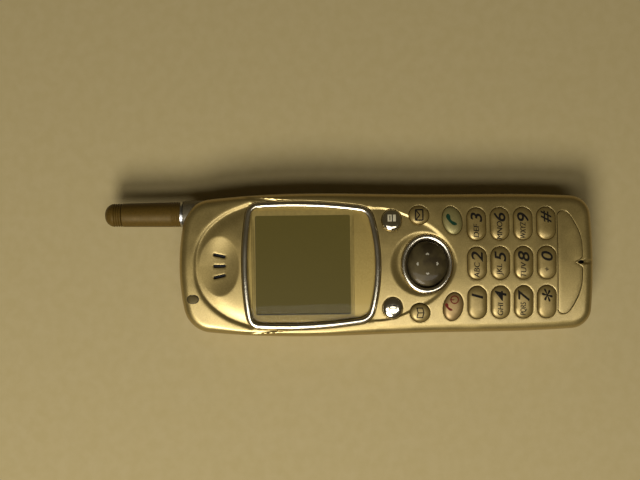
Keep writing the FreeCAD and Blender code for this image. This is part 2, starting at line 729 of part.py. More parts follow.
def rear_cover():
    """The back half of the casing: deep at the head, and a tray over the battery."""
    cover = solid_back()
    bay = box(-FAR, FAR, -FAR, BATTERY_HEAD_Y, -1, tray_z)
    hollow_head = slab(inner_outline, WALL, FAR).common(box(-FAR, FAR, BATTERY_HEAD_Y + WALL, FAR, 0, FAR))
    hollow_foot = slab(inner_outline, tray_top, FAR)
    cover = cover.cut([bay, hollow_head, hollow_foot])
    lip_outer = body_outline(lip_inset)
    lip_inner = body_outline(lip_inset + LIP_THICKNESS)
    lip_z = PARTING_Z - LIP_DROP
    lip = slab(lip_outer, lip_z, PARTING_Z + LIP_HEIGHT).cut(slab(lip_inner, lip_z, PARTING_Z + LIP_HEIGHT))
    lip = lip.cut([along_antenna(BOSS_R + LIP_CLEARANCE, BOSS_FOOT_Y - LIP_CLEARANCE, FAR)]
                  + [pin(SCREW_POST_R + LIP_CLEARANCE, x, y, PARTING_Z, FAR) for x, y in screws])
    root = slab(body_outline(WALL / 2), lip_z, PARTING_Z).cut(slab(lip_inner, lip_z, PARTING_Z))
    boss = antenna_boss().common(box(-FAR, FAR, -FAR, FAR, 0, PARTING_Z))
    foot_posts = [pin(SCREW_BOSS_R, x, y, tray_z, PARTING_Z) for x, y in FOOT_SCREWS]
    head_posts = [pin(SCREW_BOSS_R, x, y, WALL / 2, PARTING_Z) for x, y in HEAD_SCREWS]
    cover = cover.fuse([lip, root, boss, rail(1, 0), rail(-1, 0)] + foot_posts + head_posts)
    cuts = [antenna_bore(), connector_cut(), sim_box(SIM_CLEARANCE, 0, tray_top + OVERCUT)]
    cuts.append(slab(catch_rect(CATCH_CLEARANCE), -1, WALL + OVERCUT))
    gap = TONGUE_CLEARANCE
    cuts.append(box(-TONGUE_HALF_WIDTH - gap, TONGUE_HALF_WIDTH + gap, BATTERY_HEAD_Y - 1,
                    BATTERY_HEAD_Y + WALL + OVERCUT, TONGUE_Z - gap, TONGUE_Z + TONGUE_THICKNESS + gap))
    for x, y in FOOT_SCREWS + HEAD_SCREWS:
        cuts.append(pin(SCREW_HEAD_R + SCREW_CLEARANCE, x, y, -1, SCREW_HEAD_Z + SCREW_HEAD_THICKNESS))
        cuts.append(pin(SCREW_R + SCREW_CLEARANCE, x, y, 0, FAR))
    for x in contact_xs():
        reach = CONTACT_WIDTH / 2 + CONTACT_CLEARANCE
        cuts.append(box(x - reach, x + reach, contact_y() - CONTACT_LENGTH / 2 - CONTACT_CLEARANCE,
                        contact_y() + CONTACT_LENGTH / 2 + CONTACT_CLEARANCE, 0, tray_top + OVERCUT))
    tube_room = along_antenna(TUBE_R + TUBE_CLEARANCE, -40, BUSHING_FOOT_Y)
    cuts.append(tube_room)
    return cover.cut(cuts)


def display_trim():
    """The bright ring round the display."""
    plate = layer(trim_outline(), -TRIM_PROUD, WINDOW_SUNK + WINDOW_THICKNESS)
    return plate.cut(slab(trim_outline(TRIM_BAND), 0, FAR))


def display_window():
    """The clear window over the display."""
    return layer(trim_outline(TRIM_BAND + WINDOW_CLEARANCE), WINDOW_SUNK, WINDOW_SUNK + WINDOW_THICKNESS)


def lcd_bottom():
    """Height of the display panel's underside, set by the lowest corner of the window above it."""
    lowest = min(front_z(LCD_HALF_WIDTH, LCD_FOOT_Y), front_z(LCD_HALF_WIDTH, LCD_HEAD_Y))
    return lowest - WINDOW_SUNK - WINDOW_THICKNESS - WINDOW_GAP - LCD_THICKNESS


def pcb():
    """The circuit board, cut back beside the antenna's tube."""
    board = slab(body_outline(lip_inset + LIP_THICKNESS + PCB_CLEARANCE), PCB_Z, pcb_top)
    cuts = [box(ANTENNA_X - TUBE_R - PCB_TUBE_CLEARANCE, FAR, tube_foot_y() - 2, FAR, 0, FAR),
            box(ANTENNA_X - BUSHING_R - PCB_BOSS_CLEARANCE, FAR, BOSS_FOOT_Y - 1, FAR, 0, FAR),
            box(-FAR, FAR, -FAR, FOOT_Y + CONNECTOR_LENGTH + PCB_CONNECTOR_CLEARANCE, 0, FAR)]
    cuts += [pin(SCREW_POST_R + PCB_POST_CLEARANCE, x, y, 0, FAR) for x, y in screws]
    return board.cut(cuts)


def tube_foot_y():
    """The closed end of the antenna's tube, just past the retracted whip."""
    return whip_foot_y() - TUBE_FOOT_CLEARANCE


def whip_foot_y():
    """The lower end of the whip at rest, so that its stop meets the bushing at full travel."""
    return BUSHING_FOOT_Y - WHIP_STOP_CLEARANCE - WHIP_STOP_LENGTH - WHIP_TRAVEL


def can(x0, x1, y0, y1, z0, z1):
    """A pressed shield can, open towards the board above it."""
    t = SHIELD_CAN_THICKNESS
    return box(x0, x1, y0, y1, z0, z1).cut(box(x0 + t, x1 - t, y0 + t, y1 - t, z0 + t, z1 + 1))


def keypad_mat():
    """One rubber sheet under all the keys, with a post over each dome."""
    foot = DIGIT_TOP_Y - (len(DIGIT_ROWS) - 1) * DIGIT_PITCH_Y - DIGIT_HEIGHT / 2 - KEY_FLANGE
    half = DIGIT_PITCH_X + DIGIT_WIDTH / 2 + KEY_FLANGE
    head = SOFT_Y + SOFT_HEIGHT / 2 + KEY_FLANGE
    sheet = box(-half, half, foot, head, MAT_Z, MAT_Z + MAT_THICKNESS)
    nav_room = slab(ellipse(NAV_RING_HALF_X, NAV_RING_HALF_Y, 0, NAV_Y), 0, FAR)
    sheet = sheet.cut(nav_room)
    posts = []
    for key in keys.values():
        posts.append(pin(MAT_POST_R, key.x, key.y, pcb_top + DOME_HEIGHT + MAT_POST_CLEARANCE, MAT_Z))
    return sheet.fuse(posts)


def switch_domes():
    """Spring domes on the board under the keys and the four ends of the direction key."""
    places = [(key.x, key.y) for key in keys.values()]
    rows = [(DOME_R, x, y) for x, y in places] + [(NAV_SWITCH_R, x, y) for x, y in nav_switches()]
    domes = []
    for r, x, y in rows:
        cap_r = (r ** 2 + DOME_HEIGHT ** 2) / (2 * DOME_HEIGHT)
        ball = Part.makeSphere(cap_r, V(x, y, pcb_top + DOME_HEIGHT - cap_r))
        domes.append(ball.common(pin(r, x, y, pcb_top, pcb_top + 2)))
    return Part.makeCompound(domes)


def nav_top():
    """Height of the floor of the dish at the middle of the direction key."""
    return front_z(0, NAV_Y) - PANEL_STEP - NAV_DISH_DEPTH


def nav_ring_z():
    """The underside of the ring and of the cover round it, clear of the rocking flange."""
    return NAV_FLANGE_Z + NAV_FLANGE_THICKNESS + NAV_FLANGE_ROOM


def nav_switches():
    """The four places where the rocking flange presses on the board."""
    out_x = NAV_DOME_HALF_X + NAV_FLANGE - NAV_PLUNGER_R
    out_y = NAV_DOME_HALF_Y + NAV_FLANGE - NAV_PLUNGER_R
    return [(out_x, NAV_Y), (-out_x, NAV_Y), (0, NAV_Y + out_y), (0, NAV_Y - out_y)]


def nav_ring():
    """The bright fixed ring round the direction key."""
    top = nav_top() + NAV_RING_PROUD
    outer = slab(ellipse(NAV_RING_HALF_X, NAV_RING_HALF_Y, 0, NAV_Y), nav_ring_z(), top)
    rim = [e for e in outer.Edges if abs(e.BoundBox.ZMin - top) < SAME]
    outer = outer.makeFillet(NAV_RING_ROUND, rim)
    hole = ellipse(NAV_DOME_HALF_X + NAV_CLEARANCE, NAV_DOME_HALF_Y + NAV_CLEARANCE, 0, NAV_Y)
    return outer.cut(slab(hole, 0, FAR))


def nav_key():
    """The smoked dome with its flange, its four plungers and the block on the carrier's axle."""
    top = nav_top() + NAV_DOME_PROUD
    dome = slab(ellipse(NAV_DOME_HALF_X, NAV_DOME_HALF_Y, 0, NAV_Y), NAV_FLANGE_Z, top)
    rim = [e for e in dome.Edges if abs(e.BoundBox.ZMin - top) < SAME]
    dome = dome.makeFillet(NAV_DOME_ROUND, rim)
    flange = slab(ellipse(NAV_DOME_HALF_X + NAV_FLANGE, NAV_DOME_HALF_Y + NAV_FLANGE, 0, NAV_Y), NAV_FLANGE_Z,
                  NAV_FLANGE_Z + NAV_FLANGE_THICKNESS)
    block = box(-NAV_BLOCK_HALF_X, NAV_BLOCK_HALF_X, NAV_Y - NAV_BLOCK_HALF_Y, NAV_Y + NAV_BLOCK_HALF_Y,
                NAV_PIVOT_Z - NAV_CARRIER_HALF_THICKNESS, NAV_FLANGE_Z)
    axle = rod(NAV_PIN_R, V(0, NAV_Y - NAV_CARRIER_HALF_Y, NAV_PIVOT_Z),
               V(0, NAV_Y + NAV_CARRIER_HALF_Y, NAV_PIVOT_Z))
    foot = pcb_top + DOME_HEIGHT + NAV_PLUNGER_GAP
    plungers = [pin(NAV_PLUNGER_R, x, y, foot, NAV_FLANGE_Z) for x, y in nav_switches()]
    return dome.fuse([flange, block, axle] + plungers)


def nav_carrier():
    """The small frame that lets the dome rock both ways: pins along X, bores along Y."""
    z0 = NAV_PIVOT_Z - NAV_CARRIER_HALF_THICKNESS
    z1 = NAV_PIVOT_Z + NAV_CARRIER_HALF_THICKNESS
    frame = slab(ellipse(NAV_CARRIER_HALF_X, NAV_CARRIER_HALF_Y, 0, NAV_Y), z0, z1)
    frame = frame.cut(slab(ellipse(NAV_CARRIER_HALF_X - NAV_CARRIER_BAND,
                                   NAV_CARRIER_HALF_Y - NAV_CARRIER_BAND,
                                   0, NAV_Y), 0, FAR))
    reach = NAV_CARRIER_HALF_X + NAV_POST_GAP + NAV_POST_WIDTH
    pins = [rod(NAV_PIN_R, V(side * (NAV_CARRIER_HALF_X - NAV_PIN_ROOT), NAV_Y, NAV_PIVOT_Z),
                V(side * reach, NAV_Y, NAV_PIVOT_Z)) for side in (-1, 1)]
    bore = rod(NAV_PIN_R + NAV_PIN_CLEARANCE, V(0, NAV_Y - 10, NAV_PIVOT_Z), V(0, NAV_Y + 10, NAV_PIVOT_Z))
    return frame.fuse(pins).cut(bore)


def nav_base():
    """Two posts on the board that hold the carrier's pins."""
    inner = NAV_CARRIER_HALF_X + NAV_POST_GAP
    outer = inner + NAV_POST_WIDTH
    posts = []
    for x0, x1 in ((inner, outer), (-outer, -inner)):
        posts.append(box(x0, x1, NAV_Y - NAV_POST_HALF, NAV_Y + NAV_POST_HALF, pcb_top,
                         NAV_PIVOT_Z + NAV_PIN_R + NAV_POST_RIM))
    plate = box(-outer, outer, NAV_Y - NAV_POST_HALF, NAV_Y + NAV_POST_HALF, pcb_top,
                pcb_top + NAV_PLATE_THICKNESS)
    bore = rod(NAV_PIN_R + NAV_PIN_CLEARANCE, V(-20, NAV_Y, NAV_PIVOT_Z), V(20, NAV_Y, NAV_PIVOT_Z))
    return plate.fuse(posts).cut(bore)


def antenna_bushing():
    """The threaded metal sleeve that the antenna stands in."""
    sleeve = along_antenna(BUSHING_R, BUSHING_FOOT_Y, STUB_FOOT_Y)
    flange = along_antenna(BUSHING_FLANGE_R, STUB_FOOT_Y - BUSHING_FLANGE_THICKNESS, STUB_FOOT_Y)
    bore = along_antenna(WHIP_R + WHIP_CLEARANCE, BUSHING_FOOT_Y - 1, STUB_FOOT_Y + 1)
    return sleeve.fuse(flange).cut(bore)


def antenna_stub():
    """The fixed stub, slightly tapered."""
    cone = Part.makeCone(STUB_FOOT_R, STUB_HEAD_R, STUB_HEAD_Y - STUB_FOOT_Y,
                         V(ANTENNA_X, STUB_FOOT_Y, ANTENNA_Z), V(0, 1, 0))
    return cone.cut(along_antenna(WHIP_R + WHIP_CLEARANCE, STUB_FOOT_Y - 1, STUB_HEAD_Y + 1))


def antenna_knob():
    """The ribbed and rounded tip, which pulls the whip out."""
    knob = along_antenna(KNOB_R, STUB_HEAD_Y + KNOB_CLEARANCE, ANTENNA_TIP_Y)
    tip = [e for e in knob.Edges if e.BoundBox.YMin > ANTENNA_TIP_Y - SAME]
    knob = knob.makeFillet(KNOB_TIP_R, tip)
    grooves = []
    for i in range(KNOB_GROOVES):
        y = STUB_HEAD_Y + KNOB_GROOVE_START + i * KNOB_GROOVE_PITCH
        ring = along_antenna(KNOB_R + 1, y - KNOB_GROOVE_HALF, y + KNOB_GROOVE_HALF)
        grooves.append(ring.cut(along_antenna(KNOB_R - KNOB_GROOVE_DEPTH, y - 1, y + 1)))
    socket = along_antenna(WHIP_R, STUB_HEAD_Y - 1, STUB_HEAD_Y + WHIP_ROOT)
    return knob.cut(grooves + [socket])


def antenna_whip():
    """The thin whip with a stop at its lower end."""
    whip = along_antenna(WHIP_R, whip_foot_y(), STUB_HEAD_Y + WHIP_ROOT)
    return whip.fuse(along_antenna(WHIP_STOP_R, whip_foot_y(), whip_foot_y() + WHIP_STOP_LENGTH))


def antenna_tube():
    """The plastic tube inside the casing that the whip runs in."""
    tube = along_antenna(TUBE_R, tube_foot_y() - TUBE_FOOT_WALL, BUSHING_FOOT_Y)
    return tube.cut(along_antenna(TUBE_BORE_R, tube_foot_y(), BUSHING_FOOT_Y + 1))


def cell_ends():
    """Where the battery's cell starts and ends along the pack."""
    return FOOT_Y + CELL_FOOT_MARGIN + WALL, BATTERY_HEAD_Y - BATTERY_CLEARANCE - CELL_HEAD_MARGIN


def battery_case():
    """The pack's case: it carries the grooves for the rails and the forked tongue for the catch."""
    head = BATTERY_HEAD_Y - BATTERY_CLEARANCE
    case = solid_back().common(box(-FAR, FAR, -FAR, head, -1, BATTERY_DEPTH))
    y0, y1 = cell_ends()
    gap = CELL_CLEARANCE
    case = case.cut(box(-CELL_HALF_WIDTH - gap, CELL_HALF_WIDTH + gap, y0 - gap, y1 + gap, CASE_FLOOR, FAR))
    rim = gap + LID_OVERLAP
    case = case.cut(box(-CELL_HALF_WIDTH - rim, CELL_HALF_WIDTH + rim, y0 - rim, y1 + rim,
                        BATTERY_DEPTH - LID_THICKNESS, FAR))
    case = case.cut([rail(1, RAIL_CLEARANCE), rail(-1, RAIL_CLEARANCE)])
    tongue = box(-TONGUE_HALF_WIDTH, TONGUE_HALF_WIDTH, head - TONGUE_ROOT,
                 head + BATTERY_CLEARANCE + TONGUE_LENGTH,
                 TONGUE_Z, TONGUE_Z + TONGUE_THICKNESS)
    fork = box(-TOOTH_HALF_WIDTH - FORK_CLEARANCE, TOOTH_HALF_WIDTH + FORK_CLEARANCE, BATTERY_HEAD_Y + WALL,
               BATTERY_HEAD_Y + 20, 0, BATTERY_DEPTH)
    return case.fuse(tongue.cut(fork))


def lid_rect():
    y0, y1 = cell_ends()
    rim = CELL_CLEARANCE + LID_OVERLAP - LID_CLEARANCE
    return (-CELL_HALF_WIDTH - rim, CELL_HALF_WIDTH + rim, y0 - rim, y1 + rim)


def battery_lid():
    lid = box(*lid_rect(), BATTERY_DEPTH - LID_THICKNESS, BATTERY_DEPTH)
    return lid.cut(battery_pad_solids(LID_CLEARANCE))


def battery_pad_solids(gap):
    """The contact pads let into the lid."""
    pads = []
    for x in contact_xs():
        reach = CONTACT_WIDTH / 2 + PAD_RIM + gap
        pads.append(box(x - reach, x + reach, contact_y() - CONTACT_LENGTH / 2 - gap,
                        contact_y() + CONTACT_LENGTH / 2 + gap, BATTERY_DEPTH - PAD_THICKNESS, BATTERY_DEPTH))
    return pads


def battery_cell():
    y0, y1 = cell_ends()
    cell = box(-CELL_HALF_WIDTH, CELL_HALF_WIDTH, y0, y1, CASE_FLOOR, CASE_FLOOR + CELL_DEPTH)
    return cell.makeFillet(CELL_ROUND, [e for e in cell.Edges if e.BoundBox.ZLength > 1])


def battery_contacts():
    """Spring blades that come down from the board to the battery's pads."""
    blades = []
    for x in contact_xs():
        reach = CONTACT_WIDTH / 2
        y = contact_y()
        post = box(x - reach, x + reach, y - CONTACT_LENGTH / 2, y - CONTACT_LENGTH / 2 + CONTACT_FOOT,
                   tray_z, PCB_Z)
        blade = box(x - reach, x + reach, y - CONTACT_LENGTH / 2, y + CONTACT_LENGTH / 2 - CONTACT_BEND,
                    tray_z - CONTACT_SHEET / 2, tray_z + CONTACT_SHEET / 2)
        blades.append(post.fuse(blade))
    return Part.makeCompound(blades)


def battery_catch():
    """The push button on the back, with an arm and a tooth that drops into the tongue's fork."""
    button = slab(catch_rect(0), 0, CATCH_TOP_Z)
    y0 = BATTERY_HEAD_Y + WALL + CATCH_CLEARANCE
    arm_z = CATCH_TOP_Z - CATCH_ARM_THICKNESS
    arm = box(-TOOTH_HALF_WIDTH, TOOTH_HALF_WIDTH, y0, y0 + TOOTH_LENGTH + CATCH_GAP + 1, arm_z, CATCH_TOP_Z)
    tooth = box(-TOOTH_HALF_WIDTH, TOOTH_HALF_WIDTH, y0, y0 + TOOTH_LENGTH, TONGUE_Z + TOOTH_RISE,
                CATCH_TOP_Z)
    ridges = []
    middle = catch_middle_y()
    for i in (-1, 0, 1):
        ridges.append(box(-CATCH_HALF_WIDTH + RIDGE_MARGIN, CATCH_HALF_WIDTH - RIDGE_MARGIN,
                          middle + RIDGE_PITCH * i - RIDGE_HALF,
                          middle + RIDGE_PITCH * i + RIDGE_HALF, -1, RIDGE_DEPTH))
    lip = slab(catch_rect(CATCH_CLEARANCE + CATCH_LIP), WALL + CATCH_LIP_GAP, WALL + CATCH_LIP_TOP)
    return button.fuse([arm, tooth, lip]).cut(ridges)


def catch_middle_y():
    return BATTERY_HEAD_Y + WALL + CATCH_CLEARANCE + TOOTH_LENGTH + CATCH_GAP + CATCH_LENGTH / 2


def catch_spring():
    """A coil spring between the catch and the underside of the board."""
    height = PCB_Z - CATCH_TOP_Z - 2 * CATCH_SPRING_WIRE_R - 2 * CATCH_SPRING_GAP
    helix = Part.makeHelix(height / CATCH_SPRING_TURNS, height, CATCH_SPRING_R)
    circle = Part.makeCircle(CATCH_SPRING_WIRE_R, V(CATCH_SPRING_R, 0, 0), V(0, 1, 0))
    coil = Part.Wire(helix).makePipeShell([Part.Wire([circle])], True, True)
    coil.translate(V(0, catch_middle_y(), CATCH_TOP_Z + CATCH_SPRING_WIRE_R + CATCH_SPRING_GAP))
    return coil


def case_screws():
    """Four equal screws that draw the two covers together."""
    made = []
    for x, y in screws:
        shank_z = SCREW_HEAD_Z + SCREW_HEAD_THICKNESS
        drive_z = SCREW_HEAD_Z + DRIVE_DEPTH
        head = pin(SCREW_HEAD_R, x, y, SCREW_HEAD_Z, shank_z)
        slots = [box(x - DRIVE_REACH, x + DRIVE_REACH, y - DRIVE_HALF, y + DRIVE_HALF, SCREW_HEAD_Z - 1,
                     drive_z),
                 box(x - DRIVE_HALF, x + DRIVE_HALF, y - DRIVE_REACH, y + DRIVE_REACH, SCREW_HEAD_Z - 1,
                     drive_z)]
        made.append(head.fuse(pin(SCREW_R, x, y, shank_z,
                                  shank_z + SCREW_LENGTH - SCREW_TIP_CLEARANCE)).cut(slots))
    return Part.makeCompound(made)


def screw_plugs():
    """Rubber plugs that hide the two screws at the head end."""
    r = SCREW_HEAD_R + SCREW_CLEARANCE - PLUG_CLEARANCE
    return Part.makeCompound([pin(r, x, y, PLUG_SUNK, PLUG_THICKNESS) for x, y in HEAD_SCREWS])


def foot_connector():
    """The socket at the foot end for the charger and accessories."""
    z1 = CONNECTOR_Z + CONNECTOR_THICKNESS
    shell = box(-CONNECTOR_HALF_WIDTH, CONNECTOR_HALF_WIDTH, FOOT_Y + CONNECTOR_SUNK,
                FOOT_Y + CONNECTOR_LENGTH - CONNECTOR_BACK_GAP,
                CONNECTOR_Z, z1)
    w = CONNECTOR_WALL
    mouth = box(-CONNECTOR_HALF_WIDTH + w, CONNECTOR_HALF_WIDTH - w, FOOT_Y,
                FOOT_Y + CONNECTOR_LENGTH - CONNECTOR_BACK,
                CONNECTOR_Z + w, z1 - w)
    tongue = box(-CONNECTOR_HALF_WIDTH + TONGUE_SIDE, CONNECTOR_HALF_WIDTH - TONGUE_SIDE,
                 FOOT_Y + TONGUE_SUNK,
                 FOOT_Y + CONNECTOR_LENGTH - CONNECTOR_BACK, CONNECTOR_Z + TONGUE_FACE, z1 - TONGUE_FACE)
    return shell.cut(mouth).fuse(tongue)


def microphone():
    z1 = mic_top()
    return pin(MIC_R, 0, MIC_Y, z1 - MIC_THICKNESS, z1)


def mic_top():
    """The capsule's upper face, just under the cover's inner face at the foot."""
    return front_z(0, FOOT_Y) - WALL - MIC_HEADROOM


def microphone_boot():
    """The rubber boot that seals the capsule to the cover."""
    z1 = mic_top()
    cup = pin(MIC_R + MIC_BOOT_WALL, 0, MIC_Y, z1 - MIC_THICKNESS - MIC_BOOT_FLOOR, z1 + MIC_BOOT_RIM)
    return cup.cut([pin(MIC_R, 0, MIC_Y, z1 - MIC_THICKNESS, z1 + 2)])


def vibration_motor():
    body = rod(MOTOR_R, V(MOTOR_X, MOTOR_Y, MOTOR_Z), V(MOTOR_X + MOTOR_LENGTH, MOTOR_Y, MOTOR_Z))
    bore = rod(SHAFT_R + SHAFT_CLEARANCE, V(MOTOR_X + 2, MOTOR_Y, MOTOR_Z),
               V(MOTOR_X + MOTOR_LENGTH + 1, MOTOR_Y, MOTOR_Z))
    saddle = box(MOTOR_X + 1, MOTOR_X + MOTOR_LENGTH - 1, MOTOR_Y - MOTOR_R, MOTOR_Y + MOTOR_R,
                 MOTOR_Z, PCB_Z).cut(rod(MOTOR_R - MOTOR_BRACKET_GRIP, V(MOTOR_X, MOTOR_Y, MOTOR_Z),
                                         V(MOTOR_X + MOTOR_LENGTH, MOTOR_Y, MOTOR_Z)))
    return body.fuse(saddle).cut(bore)


def vibration_weight():
    """The off-centre weight on the motor's shaft, hanging down at rest."""
    x0 = MOTOR_X + MOTOR_LENGTH + WEIGHT_GAP
    disc = rod(WEIGHT_R, V(x0, MOTOR_Y, MOTOR_Z), V(x0 + WEIGHT_LENGTH, MOTOR_Y, MOTOR_Z))
    half = disc.cut(box(x0 - 1, x0 + WEIGHT_LENGTH + 1, MOTOR_Y - 9, MOTOR_Y + 9, MOTOR_Z + WEIGHT_STEP, FAR))
    shaft = rod(SHAFT_R, V(MOTOR_X + SHAFT_ROOT, MOTOR_Y, MOTOR_Z), V(x0 + WEIGHT_LENGTH, MOTOR_Y, MOTOR_Z))
    return half.fuse(shaft)


def ringer():
    z0 = PCB_Z - RINGER_THICKNESS - RINGER_CLEARANCE
    body = pin(RINGER_R, RINGER_X, RINGER_Y, z0, PCB_Z - RINGER_CLEARANCE)
    return body.cut(pin(RINGER_HOLE_R, RINGER_X, RINGER_Y, z0 - 1, z0 + RINGER_HOLE_DEPTH))


def indicator_lens():
    """The lens of the lamp, flush with the rolled edge at the head end."""
    wire = stadium(INDICATOR_WIDTH - 2 * INDICATOR_CLEARANCE, INDICATOR_LENGTH - 2 * INDICATOR_CLEARANCE,
                   INDICATOR_X, INDICATOR_Y)
    return solid_front().common(slab(wire, PARTING_Z + INDICATOR_FOOT + INDICATOR_SEAT, FAR))


def foot_panel():
    """The thin inlaid panel at the foot, notched for the microphone."""
    plate = layer(foot_panel_outline(), 0, FOOT_PANEL_THICKNESS)
    return plate.cut(box(-MIC_SLOT_WIDTH / 2, MIC_SLOT_WIDTH / 2, -FAR, MIC_SLOT_START_Y, 0, FAR))


lcd_z = lcd_bottom()
save("front_cover", front_cover())
save("rear_cover", rear_cover())
save("display_trim", display_trim())
save("display_window", display_window())
save("lcd_panel", slab(lcd_rect(), lcd_z, lcd_z + LCD_THICKNESS))
save("lcd_backlight", slab(lcd_rect(), ANTENNA_Z + TUBE_R + BACKLIGHT_CLEARANCE, lcd_z))
save("foot_panel", foot_panel())
save("indicator_lens", indicator_lens())
for key_name, key_place in keys.items():
    save(key_name, key_cap(key_place))
save("nav_ring", nav_ring())
save("nav_key", nav_key())
save("nav_carrier", nav_carrier())
save("nav_base", nav_base())
save("keypad_mat", keypad_mat())
save("switch_domes", switch_domes())
save("main_pcb", pcb())
save("rf_shield", can(RF_SHIELD_X, ANTENNA_X - TUBE_R - RF_SHIELD_GAP, BATTERY_HEAD_Y + RF_SHIELD_FOOT,
                      RF_SHIELD_HEAD_Y,
                      PCB_Z - RF_SHIELD_DEPTH, PCB_Z))
save("logic_shield", can(*LOGIC_SHIELD, PCB_Z - LOGIC_SHIELD_DEPTH, PCB_Z))
save("sim_holder", sim_box(0, tray_top + SIM_FLOOR_GAP, PCB_Z).cut(sim_box(-SIM_RIM, tray_top,
                                                                           PCB_Z - SIM_ROOF)))
save("backup_cell", pin(COIN_R, COIN_X, COIN_Y, PCB_Z - COIN_THICKNESS, PCB_Z))
save("earpiece_speaker", pin(SPEAKER_R, 0, EAR_Y, pcb_top, pcb_top + SPEAKER_THICKNESS))
gasket_z = pcb_top + SPEAKER_THICKNESS
gasket = pin(SPEAKER_R, 0, EAR_Y, gasket_z, gasket_z + GASKET_THICKNESS)
save("earpiece_gasket", gasket.cut(pin(SPEAKER_R - GASKET_BAND, 0, EAR_Y, 0, FAR)))
save("microphone", microphone())
save("microphone_boot", microphone_boot())
save("ringer", ringer())
save("vibration_motor", vibration_motor())
save("vibration_weight", vibration_weight())
save("foot_connector", foot_connector())
save("antenna_bushing", antenna_bushing())
save("antenna_stub", antenna_stub())
save("antenna_knob", antenna_knob())
save("antenna_whip", antenna_whip())
save("antenna_tube", antenna_tube())
save("battery_case", battery_case())
save("battery_lid", battery_lid())
save("battery_pads", Part.makeCompound(battery_pad_solids(0)))
save("battery_cell", battery_cell())
save("battery_contacts", battery_contacts())
save("battery_catch", battery_catch())
save("catch_spring", catch_spring())
save("case_screws", case_screws())
save("screw_plugs", screw_plugs())
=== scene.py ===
"""A slim mobile phone with a stub antenna, lying on its back: its outer pieces and every finish.

All shapes are worked out in millimetres and written to the meshes in metres. +Y is the head end with
the antenna, +X the antenna's side, +Z the front face.
"""

import math

import bmesh
import bpy
import numpy as np
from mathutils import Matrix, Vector
from mathutils.geometry import delaunay_2d_cdt


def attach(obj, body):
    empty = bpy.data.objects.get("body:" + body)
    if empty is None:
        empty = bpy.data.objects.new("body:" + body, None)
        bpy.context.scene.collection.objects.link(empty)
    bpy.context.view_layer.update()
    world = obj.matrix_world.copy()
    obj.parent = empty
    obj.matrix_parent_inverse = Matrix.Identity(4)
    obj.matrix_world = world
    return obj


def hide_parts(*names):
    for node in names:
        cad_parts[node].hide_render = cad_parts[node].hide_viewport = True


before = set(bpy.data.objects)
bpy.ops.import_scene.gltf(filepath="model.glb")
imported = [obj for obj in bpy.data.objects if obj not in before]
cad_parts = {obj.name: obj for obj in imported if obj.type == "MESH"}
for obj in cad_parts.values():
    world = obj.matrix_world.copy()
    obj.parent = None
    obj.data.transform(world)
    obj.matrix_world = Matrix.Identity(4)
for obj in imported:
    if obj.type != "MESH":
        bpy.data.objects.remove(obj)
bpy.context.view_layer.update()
scene = bpy.context.scene
MM = 0.001

# Body, as in the CAD source
HEAD_END_Y = 64.5
FOOT_END_Y = -63.5
SIDE_POINTS = ((20.3, -62.6), (21.2, -44.45), (21.5, -10.16), (22.198, 21.93), (21.5, 45.795), (19.9, 61.6))
HEAD_CORNER_R = 9.0
FOOT_CORNER_R = 6.4
PARTING_Z = 9.0
WALL = 1.4
EDGE_R = 2.8
SEAM = 0.15  # chamfer at the parting line

# Display trim and window
TRIM_HEAD_Y = 45.0
TRIM_FOOT_Y = 2.3
TRIM_SIDE = ((17.7, 5.2), (19.8, 28.65), (19.3, 43.2))
TRIM_HEAD_R = 4.2
TRIM_FOOT_R = 5.0
TRIM_BAND = 1.8
TRIM_HEIGHT = 0.74
TRIM_SEAT = 0.33  # how far its edges lie below the crown
TRIM_FOOT = 0.9  # and its underside
TRIM_GAP = 0.14
WINDOW_GAP = 0.03
GLASS_TOP = 0.25  # depths below the crown, as are the next three
GLASS_FOOT = 1.2
PRINT_TOP = 1.3
PRINT_FOOT = 1.5
PRINT_INSET = 1.2
OPENING = (16.9, 10.4, 42.0, 0.9)  # in the printed border: half width, foot Y, head Y, corner radius
LCD_TOP_Z = 14.26
LCD_MIDDLE = (0.2, 25.85)
LCD_HALF = (15.3, 15.1)
DOT_PITCH = 0.3

# Recesses in the front
PANEL_POINTS = ((17.5, 4.0), (16.3, -3.0), (15.0, -6.4), (13.0, -11.7), (10.8, -15.0), (7.7, -18.0),
                (4.6, -20.0), (0.0, -21.4))
PANEL_STEP = 0.35
CREASE_POINTS = ((0.0, 58.8), (4.6, 58.4), (8.3, 57.0), (11.3, 54.9), (13.9, 52.0), (16.1, 48.4),
                 (17.3, 45.4), (18.4, 42.35))
CREASE_DEPTH = 0.5
EAR_Y = 51.9
EAR_HALF = (9.2, 6.15)
EAR_DEPTH = 0.9
SLOT_HALF = (0.46, 1.9)
SLOT_PITCH = 3.2
SLOT_TILT = 13.0
NAV_Y = -12.0
NAV_DISH_Y = -10.6
NAV_DISH_R = 10.1
NAV_DISH_DEPTH = 0.9
NAV_RING_HALF = (9.2, 8.0)
NAV_RING_BAND = (1.75, 1.54)
NAV_RING_Z = 15.05
NAV_RING_HEIGHT = 0.78
NAV_RING_FOOT_Z = 14.45
NAV_RING_GAP = 0.06
NAV_DOME_HALF = (6.9, 6.0)
NAV_DOME_Z = 15.2
NAV_DOME_HEIGHT = 1.2
NAV_FLANGE = 1.2
NAV_FLANGE_Z = (13.7, 13.27)
NAV_STEM_HALF = (1.6, 2.2)
NAV_STEM_FOOT_Z = 11.3
MIC_HALF_WIDTH = 0.75
MIC_START_Y = -59.6
MIC_DEPTH = 0.6
MIC_HOLE_Y = -59.3
MIC_HOLE_HALF = (0.55, 0.95)
INDICATOR = (-10.1, 60.15)
INDICATOR_HALF = (1.2, 1.7)
FOOT_PANEL_Y = -52.2
FOOT_PANEL_HALF = 15.8
FOOT_PANEL_DROP = 7.45
FOOT_PANEL_GAP = 0.12
MIC_NOTCH = 2.1
CLOTH_DEPTH = (1.62, 1.85)

